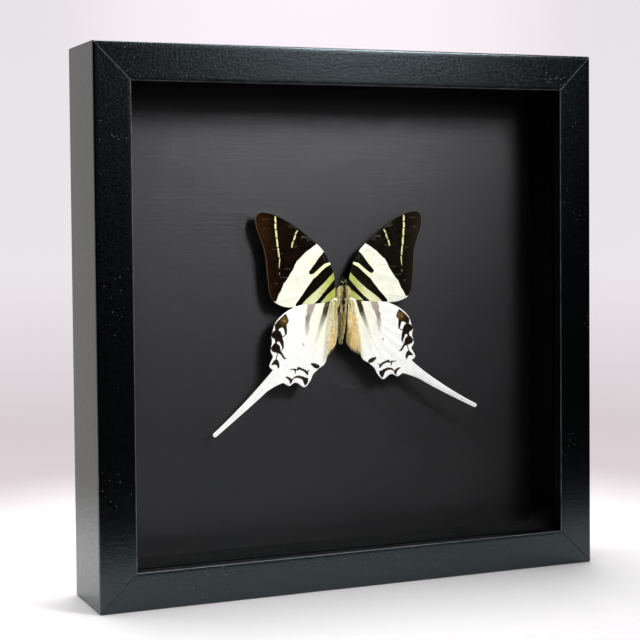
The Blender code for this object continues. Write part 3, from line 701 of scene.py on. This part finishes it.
def hindwing_height(flat, side):
    """The same for the hindwing, whose tail rises on its own on each side."""
    reach = np.minimum(flat[:, 0] / HINDWING_REACH, 1.0)
    drop = np.clip(-flat[:, 1] / HINDWING_DROP, 0.0, 1.0)
    beyond = np.maximum(flat[:, 0] - TAIL_START[0], 0.0) / TAIL_LENGTH
    arch = HINDWING_ARCH * np.sin(math.pi * reach) * drop
    return HINDWING_LEVEL + arch + side["tail_rise"] * beyond


def mark(made, name, values):
    """Values for a wing's two layers of points, which lie over each other."""
    set_values(made, name, np.tile(values, 2))


def wing(name, node, outline, height_of, side, stretch, veins, material):
    """A thin closed sheet with raised veins and the slight troughs between them."""
    flat, quads = sheet_grid(outline, SHEET_STEP)
    closed = np.vstack((outline, outline[:1]))
    edge = nearest_on(flat, closed)[0]
    vein = np.min([nearest_on(flat, np.array(path, float))[0] for path in veins], axis=0)
    ridge = VEIN_RISE * np.exp(-(vein / VEIN_WIDTH) ** 2)
    trough = TROUGH_DEPTH * (np.minimum(vein, TROUGH_WIDTH) / TROUGH_WIDTH) ** 2
    grain = np.array([noise.noise(Vector((x * 0.35, y * 0.35, side["sign"] * 3.0)))
                      for x, y in flat])
    height = height_of(flat, side) + ridge - trough + CRUMPLE * grain
    up = np.where(flat[:, 1] < 0, flat[:, 1] * stretch, flat[:, 1])
    layers = []
    for offset in (-SHEET_THICKNESS / 2, SHEET_THICKNESS / 2):
        layers.append(np.stack((AXIS_X + side["sign"] * flat[:, 0],
                                BOARD_Y - height + offset, WING_ROOT_Z + up), -1))
    points = np.concatenate(layers) * MM
    count = len(flat)
    front = quads if side["sign"] > 0 else quads[:, ::-1]
    faces = front.tolist() + (front[:, ::-1] + count).tolist()
    for a, b in open_edges(front):
        faces.append([b, a, a + count, b + count])
    made = mesh_object(name, points, faces, material)
    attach(made, "root")
    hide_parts(node)
    mark(made, "edge", edge)
    mark(made, "vein", vein)
    return made, flat


def make_forewing(label, side):
    # The right forewing's browns are lighter and greyer than the left's: painted sheen.
    dull, outer = {
        "left": (((0.0022, 0.0010, 0.0004), (0.0050, 0.0024, 0.0010)), (0.0150, 0.0050, 0.0012)),
        "right": (((0.0024, 0.0018, 0.0008), (0.0056, 0.0044, 0.0022)), (0.0120, 0.0088, 0.0050)),
    }[label]
    material = forewing_material(label, dull, outer)
    outline = smooth_outline(FOREWING, OUTLINE_STEPS)
    made, flat = wing("wing_fore_" + label, "forewing_" + label, outline, forewing_height, side,
                      side["fore_stretch"], FORE_VEINS, material)
    out, up = flat.T
    mark(made, "white", deepest(flat, [WHITE_BAND]))
    mark(made, "green", deepest(flat, [GREEN_BAND, BASAL_PATCH]))
    gaps = deepest(flat, strokes=SPOT_GAPS)
    spots = deepest(flat, strokes=MARGIN_SPOTS + APEX_SPOTS)
    mark(made, "spot", np.minimum(spots, -gaps))
    finger = np.clip((16.4 - out) / 3.0, 0, 1) * np.clip((13.6 - up + 0.25 * out) / 3.0, 0, 1)
    mark(made, "finger", finger * np.clip((16.0 - up) / 1.5, 0, 1))
    mark(made, "stray", deepest(flat, strokes=STRAY_SCALES_AND_GLINTS))
    mark(made, "outer", np.clip((out - 31.0 - 0.06 * np.maximum(up, 0)) / 8.0, 0, 1))
    mark(made, "base", np.clip((22.0 - out) / 6.0, 0, 1))
    mark(made, "outward", out)
    # Strength of the pale edge line, real fringe and painted glint, strongest at the outer margin.
    mark(made, "fringe_and_glint", np.clip((out - 33.0) / 5.0, 0, 1) * 0.5 + 0.12)


def make_hindwing(label, side):
    material = hindwing_material(label)
    points = HINDWING_OUTER + [tuple(p) for p in tail_outline(side["tail_angles"])] + HINDWING_INNER
    outline = smooth_outline(points, OUTLINE_STEPS)
    tail_vein = [tuple(middle) for middle, _ in tail_line(side["tail_angles"])]
    made, flat = wing("wing_hind_" + label, "hindwing_" + label, outline, hindwing_height, side,
                      side["hind_stretch"], HIND_VEINS + [tail_vein], material)
    out, up = flat.T
    mark(made, "dark", deepest(flat, BLOCKS, ARCS))
    mark(made, "streak", deepest(flat, strokes=STREAKS))
    mark(made, "patch", deepest(flat, strokes=PATCHES))
    mark(made, "core", deepest(flat, strokes=PATCH_CORES))
    mark(made, "fade", np.clip(0.80 + (up + 15.0) / 12.0, 0.10, 0.85))
    mark(made, "streak_fade", np.clip((up + 21.5) / 11.0, 0.2, 1.0))
    cream = np.clip((24.0 - out) / 16.0, 0, 1) * np.clip(-up / 6.0, 0, 1)
    mark(made, "cream", cream * np.clip((up + 36.0) / 16.0, 0, 1))
    glow = np.exp(-((out - EYE_GLOW[0]) ** 2 + (up - EYE_GLOW[1]) ** 2) / EYE_GLOW[2] ** 2)
    mark(made, "glow", glow)
    olive = np.clip((-27.0 - up) / 4.0, 0, 1) * np.clip((up + 42.5) / 4.0, 0.15, 1)
    mark(made, "olive_tint", olive)


# ---------------------------------------------------------------- body and hair

CREAM = (0.92, 0.86, 0.55)
PALE = (0.94, 0.91, 0.72)
WHITE = (0.94, 0.94, 0.91)
YELLOW = (0.74, 0.67, 0.24)
OLIVE = (0.20, 0.165, 0.045)
KHAKI = (0.46, 0.33, 0.08)
SAND = (0.86, 0.73, 0.34)
TAN = (0.80, 0.53, 0.19)
ORANGE = (0.92, 0.68, 0.30)
DARK = (0.010, 0.005, 0.003)
MAROON = (0.020, 0.006, 0.005)
GREY = (0.30, 0.27, 0.12)


def section_at(up):
    """Half width and half depth of the body at a level."""
    levels = [s[0] for s in BODY_SECTIONS][::-1]
    widths = [s[1] for s in BODY_SECTIONS][::-1]
    depths = [s[2] for s in BODY_SECTIONS][::-1]
    return np.interp(up, levels, widths), np.interp(up, levels, depths)


def body_point(up, angle, lift=0.0):
    """A point on the body's skin; the angle is 0 to the right and 90 towards the front."""
    half_width, half_depth = section_at(up)
    return Vector((BODY_X + BODY_LEAN * up + (half_width + lift) * math.cos(angle),
                   BOARD_Y - BODY_HEIGHT - (half_depth + lift) * math.sin(angle),
                   WING_ROOT_Z + up)) * MM


def body_colour(up, across, rng):
    """The colour of the hair at a level and a share across the body, from -1 to 1."""
    if up > 2.4:
        return DARK if rng.random() < 0.9 else CREAM
    stray = rng.random() < 0.10
    if up > -9.5:
        stripes = ((-0.97, YELLOW), (-0.82, MAROON), (-0.74, OLIVE), (-0.56, SAND), (-0.50, KHAKI),
                   (-0.44, CREAM), (0.24, MAROON if up < -3 else DARK), (0.40, CREAM),
                   (0.54, OLIVE), (2.0, YELLOW))
    else:
        stripes = ((-0.76, PALE), (-0.60, MAROON), (-0.20, KHAKI), (-0.02, OLIVE), (0.34, KHAKI),
                   (0.50, OLIVE), (0.74, PALE), (2.0, MAROON))
    colour = next(tone for limit, tone in stripes if across + rng.uniform(-0.05, 0.05) < limit)
    return KHAKI if stray else colour


class Strands:
    """Many tapering hairs in one mesh, each a closed three-sided spike with its own colour."""

    def __init__(self, name, seed):
        self.name = name
        self.rng = random.Random(seed)
        self.points, self.faces, self.colours = [], [], []

    def add(self, path, width, colour):
        shade = self.rng.uniform(0.80, 1.12)
        colour = tuple(min(c * shade, 0.95) for c in colour)
        start = len(self.points)
        turn = math.radians(30) + self.rng.uniform(-0.22, 0.22)
        for index, point in enumerate(path[:-1]):
            along = (path[index + 1] - point).normalized()
            side = along.cross(Vector((0, 1, 0))).normalized()
            other = along.cross(side)
            share = index / (len(path) - 1)
            radius = width / 2 * (1.0 - share ** 1.6) * (0.55 + 0.45 * min(share * 5, 1))
            for corner in range(3):
                angle = turn + corner * math.tau / 3
                self.points.append(point + (side * math.cos(angle) + other * math.sin(angle)) * radius)
                self.colours.append(colour)
        self.points.append(path[-1])
        self.colours.append(colour)
        rings = len(path) - 1
        self.faces += ring_faces(rings, 3, start)
        tip = len(self.points) - 1
        last = start + (rings - 1) * 3
        for corner in range(3):
            self.faces.append((last + corner, last + (corner + 1) % 3, tip))
        self.faces.append((start + 2, start + 1, start))

    def finish(self, material):
        made = mesh_object(self.name, self.points, self.faces, material, smooth=False)
        set_colours(made, self.colours)
        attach(made, "root")


def curved(start, end, bow, steps=5):
    """A gently bowed path between two points."""
    path = []
    for step in range(steps + 1):
        t = step / steps
        path.append(start.lerp(end, t) + bow * math.sin(math.pi * t))
    return path


def make_body(material):
    """Head, thorax and ringed abdomen as one skin."""
    rings, sides = 90, 36
    top, bottom = BODY_SECTIONS[0][0], BODY_SECTIONS[-1][0]
    points, colours = [], []
    rng = random.Random(SEED)
    for ring in range(rings + 1):
        up = top + (bottom - top) * ring / rings
        swell = 0.0
        if up < ABDOMEN_TOP:
            swell = RING_SWELL * abs(math.sin(math.pi * (up - ABDOMEN_TOP) / RING_LENGTH))
        for step in range(sides):
            angle = math.tau * step / sides
            rough = 0.09 * noise.noise(Vector((math.cos(angle) * 2, up * 0.9, math.sin(angle) * 2)))
            points.append(body_point(up, angle, rough - SKIN_DEPTH + swell))
            colours.append(tuple(0.55 * c for c in body_colour(up, math.cos(angle), rng)))
    faces = flipped(ring_faces(rings + 1, sides))
    faces.append(tuple(range(sides)))
    faces.append(tuple(reversed(range(rings * sides, (rings + 1) * sides))))
    made = mesh_object("body_skin", points, faces, material)
    set_colours(made, colours)
    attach(made, "root")
    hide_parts("butterfly_body")


def body_coat(material):
    coat = Strands("body_hair", SEED + 1)
    rng = coat.rng
    for _ in range(COAT_HAIRS):
        up = rng.uniform(-24.6, 4.6)
        angle = rng.uniform(math.radians(-25), math.radians(205))
        length = rng.uniform(1.6, 3.0) if up > -9 else rng.uniform(1.0, 2.0)
        if up > 2.8:
            length = rng.uniform(0.7, 1.4)
        colour = body_colour(up, math.cos(angle), rng)
        start = body_point(up, angle, -0.15)
        swing = angle + rng.uniform(-0.16, 0.16)
        end = body_point(max(up - length, -25.0), swing, rng.uniform(0.05, 0.45))
        if up - length < -25.0:
            end = end - Vector((0, 0, rng.uniform(0.2, 1.2) * MM))
        outward = (start - body_point(up, angle, -1.0)).normalized()
        coat.add(curved(start, end, outward * rng.uniform(0.1, 0.3) * MM, 4),
                 rng.uniform(0.13, 0.24) * MM, colour)
    coat.finish(material)


def place(x, z, height):
    """A point over the board, at a height above it."""
    return Vector((x, BOARD_Y - height, z)) * MM


def along_line(points, share):
    """A point at a share of the way along a line of points."""
    place_on = share * (len(points) - 1)
    index = min(int(place_on), len(points) - 2)
    return points[index].lerp(points[index + 1], place_on - index)


def fan(label, seed, colour_of, material):
    """Hair lying on the inner part of a hindwing, from a line of roots to a line of tips."""
    roots = [Vector(point) for point in FANS[label]["roots"]]
    tips = [Vector(point) for point in FANS[label]["tips"]]
    made = Strands("hair_fan_" + label, seed)
    rng = made.rng
    for _ in range(FANS[label]["hairs"]):
        across = rng.random() ** 1.25
        near = along_line(roots, across)
        far = along_line(tips, across)
        begin = rng.uniform(0.0, 0.76)
        end = min(begin + rng.uniform(0.22, 0.46), 1.0)
        ragged = rng.uniform(-1.5, 0.9) if end > 0.99 else 0.0
        line = far - near
        wander = rng.uniform(-0.45, 0.45)
        first = near + line * begin
        last = near + line * end + Vector((wander, 0)) + line.normalized() * -ragged
        level = FAN_LEVEL - 0.38 * across + rng.uniform(-0.1, 0.2)
        start = place(first.x, first.y, level - 0.15)
        stop = place(last.x, last.y, level + rng.uniform(-0.1, 0.2))
        bow = Vector((rng.uniform(-0.25, 0.25), -rng.uniform(0.02, 0.15), 0)) * MM
        clump = noise.noise(Vector((across * 16.0, begin * 1.5, seed)))
        colour = colour_of(across + 0.10 * clump, (begin + end) / 2, rng)
        tone = 1.0 + 0.30 * min(clump, 0.2)
        made.add(curved(start, stop, bow, 5), rng.uniform(0.14, 0.26) * MM,
                 tuple(c * tone for c in colour))
    made.finish(material)


def left_colour(across, along, rng):
    if across < 0.04 or along < 0.20:
        return rng.choice((OLIVE, TAN, CREAM, YELLOW))
    if across < 0.58 and 0.52 < along < 0.96:
        return rng.choice((ORANGE, TAN, ORANGE, ORANGE, CREAM))
    if across < 0.30 and along < 0.30:
        return rng.choice((KHAKI, YELLOW, CREAM, OLIVE))
    if across < 0.70:
        return rng.choice((CREAM, CREAM, PALE, ORANGE if along > 0.4 else YELLOW))
    return rng.choice((PALE, CREAM, WHITE, CREAM))


def right_colour(across, along, rng):
    if along < 0.20:
        return rng.choice((OLIVE, TAN, CREAM, YELLOW))
    if across < 0.30 and along > 0.60:
        return rng.choice((GREY, OLIVE, GREY, KHAKI, TAN))
    if across < 0.78 and 0.28 < along < 0.92:
        return rng.choice((ORANGE, TAN, ORANGE, ORANGE, CREAM))
    if across < 0.30 and along < 0.28:
        return rng.choice((KHAKI, YELLOW, CREAM, OLIVE))
    if across < 0.86:
        return rng.choice((CREAM, CREAM, PALE, ORANGE if along > 0.3 else YELLOW))
    return rng.choice((PALE, CREAM, WHITE, CREAM))


def make_hair():
    material = strand_material()
    body_coat(material)
    fan("left", SEED + 2, left_colour, material)
    fan("right", SEED + 3, right_colour, material)
    tufts = Strands("wing_root_tufts", SEED + 4)
    rng = tufts.rng
    for side in (-1, 1):
        for _ in range(TUFT_HAIRS):
            up = rng.uniform(-6.5, 2.4)
            start = body_point(up, math.pi / 2 - side * rng.uniform(0.9, 1.45), -0.2)
            reach = rng.uniform(1.2, 3.6)
            end = start + Vector((side * reach * 0.75, -rng.uniform(-0.3, 0.5),
                                  -reach * rng.uniform(0.5, 1.2))) * MM
            colour = rng.choice((YELLOW, CREAM, SAND, KHAKI, OLIVE))
            tufts.add(curved(start, end, Vector((0, -0.3, 0.15)) * MM, 4),
                      rng.uniform(0.12, 0.22) * MM, colour)
    tufts.finish(material)


def make_eyes():
    material = eye_material()
    wide, deep, tall = EYE_RADII
    rows, columns = 12, 18
    for label, sign in (("left", -1), ("right", 1)):
        centre = body_point(EYE_LEVEL, math.pi / 2 - sign * EYE_TURN, -EYE_SUNK)
        points = []
        for row in range(1, rows):
            theta = math.pi * row / rows
            for column in range(columns):
                phi = math.tau * column / columns
                points.append(centre + Vector((wide * math.sin(theta) * math.cos(phi),
                                               deep * math.sin(theta) * math.sin(phi),
                                               tall * math.cos(theta))) * MM)
        points += [centre + Vector((0, 0, tall)) * MM, centre - Vector((0, 0, tall)) * MM]
        north, south = len(points) - 2, len(points) - 1
        last = (rows - 2) * columns
        faces = flipped(ring_faces(rows - 1, columns))
        for column in range(columns):
            following = (column + 1) % columns
            faces.append((north, column, following))
            faces.append((south, last + following, last + column))
        eye = mesh_object("eye_" + label, points, faces, material)
        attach(eye, "root")


# ---------------------------------------------------------------- frame

FACE_WIDTH = 17.0
LIP_DEPTH = 6.0
WALL = 10.0
FRAME_SIDE = (CAD_BOX[1].x - CAD_BOX[0].x) / MM
FRAME_DEPTH = (CAD_BOX[1].y - CAD_BOX[0].y) / MM
FRONT_Y = CAD_BOX[0].y / MM
MITRE_TRIM = 0.15
MITRE_ARRIS = 0.10
OUTER_ROUND = 0.9
LIP_ROUND = 0.45
FACE_SWAY = 0.035
# Where the pale colour goes, on the mitre ends, the lip's edge and the outer arris: rubbed foil and
# painted highlight lines.
WORN_AND_LIT_DEPTH = 1.5
LIP_RUB_AND_HIGHLIGHT_REACH = 0.35
OUTER_RUB_AND_HIGHLIGHT_REACH = 0.5
SHARP_DEGREES = 38

# Each rail's quarter turns from the top one, and how pale its two mitred ends are: rubbed foil, with a
# painted highlight that makes the top corners paler.
RAILS = {"top": (0, (1, 1)), "right": (1, (1, 0.65)), "bottom": (2, (0.65, 0.65)),
         "left": (3, (0.65, 1))}
# Places along a rail as shares of its half length, closer together at the mitres.
RAIL_SHARES = [-1.0, -1.0, -0.9965, *np.linspace(-0.985, 0.985, 68), 0.9965, 1.0, 1.0]


def arc_points(corner, before, after, radius, steps):
    """A rounded corner of a profile."""
    corner, before, after = Vector(corner), Vector(before), Vector(after)
    one, two = (before - corner).normalized(), (after - corner).normalized()
    centre = corner + (one + two) * radius
    return [centre - two * radius * math.cos(math.pi / 2 * k / steps)
            - one * radius * math.sin(math.pi / 2 * k / steps) for k in range(steps + 1)]


def rail_profile():
    """The moulding's section: in from the outer face, back from the front."""
    corners = [((0, 0), OUTER_ROUND, 6), ((FACE_WIDTH, 0), LIP_ROUND, 5),
               ((FACE_WIDTH, LIP_DEPTH), 0.2, 2), ((WALL, LIP_DEPTH), 0.0, 0),
               ((WALL, FRAME_DEPTH), 0.25, 2), ((0, FRAME_DEPTH), 0.35, 3)]
    points = []
    for index, (corner, radius, steps) in enumerate(corners):
        before = corners[index - 1][0]
        after = corners[(index + 1) % len(corners)][0]
        if steps:
            points += arc_points(corner, before, after, radius, steps)
        else:
            points.append(Vector(corner))
    return refine(points, 1.6)


def refine(points, longest):
    """Splits the long straight stretches of a closed profile."""
    fine = []
    for index, point in enumerate(points):
        following = points[(index + 1) % len(points)]
        pieces = max(1, round((following - point).length / longest))
        fine += [point.lerp(following, k / pieces) for k in range(pieces)]
    return fine


def shrunk(profile, amount):
    """The profile moved in by a little all round, for the arris at the mitre."""
    count = len(profile)
    moved = []
    for index, point in enumerate(profile):
        along = (profile[(index + 1) % count] - profile[index - 1]).normalized()
        moved.append(point + Vector((-along.y, along.x)) * amount)
    return moved


def rub_and_highlight_at(point):
    """How pale the skin is at a point of the section, for rubbing and a painted highlight line: on the
    lip's edge and the outer arris.
    """
    lip = 1.6 - (point - Vector((FACE_WIDTH, 0))).length / LIP_RUB_AND_HIGHLIGHT_REACH
    outer = 1.7 - (point - Vector((0, OUTER_ROUND))).length / OUTER_RUB_AND_HIGHLIGHT_REACH
    return min(1.0, max(0.0, lip, outer))


def make_rail(side, turn, worn_and_lit, material):
    """One mitred rail, with its two cut ends a little eased, rubbed and given a painted highlight."""
    profile = rail_profile()
    inner = shrunk(profile, MITRE_ARRIS)
    edges = [rub_and_highlight_at(point) for point in profile]
    half = FRAME_SIDE / 2
    matrix = Matrix.Translation((0, 0, half * MM)) @ Matrix.Rotation(turn * math.pi / 2, 4, "Y")
    count, last = len(profile), len(RAIL_SHARES) - 1
    points, rubbed_and_lit = [], []
    for number, share in enumerate(RAIL_SHARES):
        end = number in (0, last)
        rub = worn_and_lit[0] if number < 2 else worn_and_lit[1] if number > last - 2 else 0.0
        for (inward, depth), edge in zip(inner if end else profile, edges):
            x = share * (half - inward - MITRE_TRIM - (0 if end else MITRE_ARRIS))
            on_face = depth < 0.01 and 1.5 < inward < FACE_WIDTH - 1 and not end
            sway = FACE_SWAY * noise.noise(Vector((x * 0.03, inward * 0.15, turn * 9.0)))
            back = FRONT_Y + depth + (abs(sway) if on_face else 0.0)
            points.append(matrix @ (Vector((x, back, half - inward)) * MM))
            rubbed_and_lit.append(max(rub if depth < WORN_AND_LIT_DEPTH else 0.0, edge))
    faces = ring_faces(last + 1, count)
    faces.append(tuple(reversed(range(count))))
    faces.append(tuple(range(last * count, (last + 1) * count)))
    rail = mesh_object("moulding_" + side, points, faces, material)
    rail.data.set_sharp_from_angle(angle=math.radians(SHARP_DEGREES))
    set_values(rail, "rub", rubbed_and_lit)
    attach(rail, "root")
    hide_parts("rail_" + side)


# ---------------------------------------------------------------- surroundings

FLOOR_SIZE = 2.4
FADE_DISTANCES = (0.16, 0.38)
FADE_FORWARD = (-0.09, -0.15)
FRONT_DARK = (0.0015, 0.0018, 0.0020)
BACK_PALE = (0.58, 0.555, 0.53)
FRONT_TO_BACK = (-0.05, 0.40)
SWEEP_HEIGHTS = (-0.26, 0.14)
# The sweep that the camera sees, with a band of painted shade just below the horizon.
SWEEP = [(0.0, (1.0, 0.98, 1.0)), (0.06, (0.95, 0.91, 0.95)), (0.20, (0.73, 0.65, 0.68)),
         (0.32, (0.69, 0.62, 0.65)), (0.55, (0.83, 0.79, 0.82)), (1.0, (0.80, 0.76, 0.79))]
# A painted bright spot in the backdrop, up and behind the frame.
GLOW_TOWARDS = (0.386, 0.914, 0.122)
GLOW_EDGE = 0.984
GLOW = (0.98, 0.90, 0.97)

# Name, place, point aimed at, size, power and spread in degrees.
LIGHTS = [("key", (0.206, -0.375, 0.436), (-0.09, 0, 0.145), 0.16, 0.33, 60),
          ("window", (0.30, -0.76, 0.40), (0.0, 0, 0.22), 0.16, 0.11, 180),
          ("floor_wash", (0.0, 0.25, 1.4), (0, 0.2, 0), 1.2, 14.5, 120)]
CAMERA_PLACE = (-0.3023, -0.6902, 0.1773)
CAMERA_TURNS = ((-22.892, "Z"), (-2.209, "X"), (0.489, "Y"), (90, "X"))


def make_floor():
    """A plain pale sweep that fades into the surroundings."""
    rings, spokes = 24, 64
    points = [(0, 0, 0)]
    for ring in range(1, rings + 1):
        radius = FLOOR_SIZE * (ring / rings) ** 1.5
        points += [(radius * math.cos(math.tau * k / spokes),
                    radius * math.sin(math.tau * k / spokes), 0) for k in range(spokes)]
    faces = [(0, 1 + k, 1 + (k + 1) % spokes) for k in range(spokes)]
    faces += flipped(ring_faces(rings, spokes, 1))
    s = Shader("pale_floor")
    pale = s.mix(s.noise(60.0, 3.0), (0.80, 0.79, 0.80), (0.84, 0.83, 0.84))
    s.set(Base_Color=pale, Roughness=0.6, Specular_IOR_Level=0.2)
    forward = s.node("ShaderNodeSeparateXYZ", {0: s.place}).outputs["Y"]
    away = s.node("ShaderNodeVectorMath", {0: s.place}, operation="LENGTH").outputs["Value"]
    fade = s.most(s.span(away, *FADE_DISTANCES), s.span(forward, *FADE_FORWARD))
    clear = s.node("ShaderNodeBsdfTransparent").outputs[0]
    blend = s.node("ShaderNodeMixShader", {0: fade, 1: s.surface.outputs[0], 2: clear})
    s.feed(s.tree.nodes["Material Output"].inputs["Surface"], blend.outputs[0])
    mesh_object("floor", points, faces, s.material)


def make_world():
    """Pale surroundings; towards the front the studio is dark. Camera rays see a sweep with a band of
    painted shade and a painted bright spot.
    """
    world = bpy.data.worlds.new("studio")
    bpy.context.scene.world = world
    world.use_nodes = True
    w = Nodes(world.node_tree)
    direction = w.node("ShaderNodeTexCoord").outputs["Generated"]
    parts = w.node("ShaderNodeSeparateXYZ", {0: direction}).outputs
    lighting = w.mix(w.span(parts["Y"], *FRONT_TO_BACK), FRONT_DARK, BACK_PALE)
    sweep = w.node("ShaderNodeValToRGB", {0: w.span(parts["Z"], *SWEEP_HEIGHTS, curve="LINEAR")})
    stops = sweep.color_ramp.elements
    for position, _ in SWEEP[1:-1]:
        stops.new(position)
    for stop, (position, colour) in zip(stops, SWEEP):
        stop.position = position
        stop.color = (*colour, 1.0)
    near = w.node("ShaderNodeVectorMath", {0: direction, 1: GLOW_TOWARDS}, operation="DOT_PRODUCT")
    seen = w.mix(w.span(near.outputs["Value"], GLOW_EDGE, 1.0), sweep.outputs[0], GLOW)
    camera_ray = w.node("ShaderNodeLightPath").outputs["Is Camera Ray"]
    w.feed(w.tree.nodes["Background"].inputs["Color"], w.mix(camera_ray, lighting, seen))


def make_lights():
    for name, location, target, size, power, spread in LIGHTS:
        data = bpy.data.lights.new(name, "AREA")
        data.shape = "DISK"
        data.size = size
        data.energy = power
        data.spread = math.radians(spread)
        lamp = bpy.data.objects.new(name, data)
        lamp.location = location
        aim = Vector(target) - Vector(location)
        lamp.rotation_euler = aim.to_track_quat("-Z", "Y").to_euler()
        bpy.context.scene.collection.objects.link(lamp)


def make_camera():
    data = bpy.data.cameras.new("camera")
    data.lens = 89.29
    data.sensor_width = 36.0
    data.shift_y = -0.0809
    data.clip_start = 0.01
    data.clip_end = 20.0
    camera = bpy.data.objects.new("camera", data)
    matrix = Matrix.Translation(CAMERA_PLACE)
    for degrees, axis in CAMERA_TURNS:
        matrix = matrix @ Matrix.Rotation(math.radians(degrees), 4, axis)
    camera.matrix_world = matrix
    bpy.context.scene.collection.objects.link(camera)
    bpy.context.scene.camera = camera


def repaint(material, *nodes):
    for name in nodes:
        NODES[name].data.materials.clear()
        NODES[name].data.materials.append(material)


def main():
    make_camera()
    skin = skin_material()
    for side, (turn, worn_and_lit) in RAILS.items():
        make_rail(side, turn, worn_and_lit, skin)
    repaint(glass_material(), "glazing")
    NODES["glazing"].visible_shadow = False
    repaint(liner_material(), "spacer_top", "spacer_bottom", "spacer_left", "spacer_right")
    repaint(board_material(), "backing_board")
    repaint(hardboard_material(), "back_panel")
    trim = [name for name in NODES if name.startswith(("retaining_tab", "hanger_", "sawtooth"))]
    repaint(steel_material(), "insect_pin", *trim)
    for label, side in SIDES.items():
        make_forewing(label, side)
        make_hindwing(label, side)
    make_body(body_material())
    make_eyes()
    make_hair()
    make_floor()
    make_world()
    make_lights()
    bpy.context.scene.view_settings.view_transform = "Standard"


main()
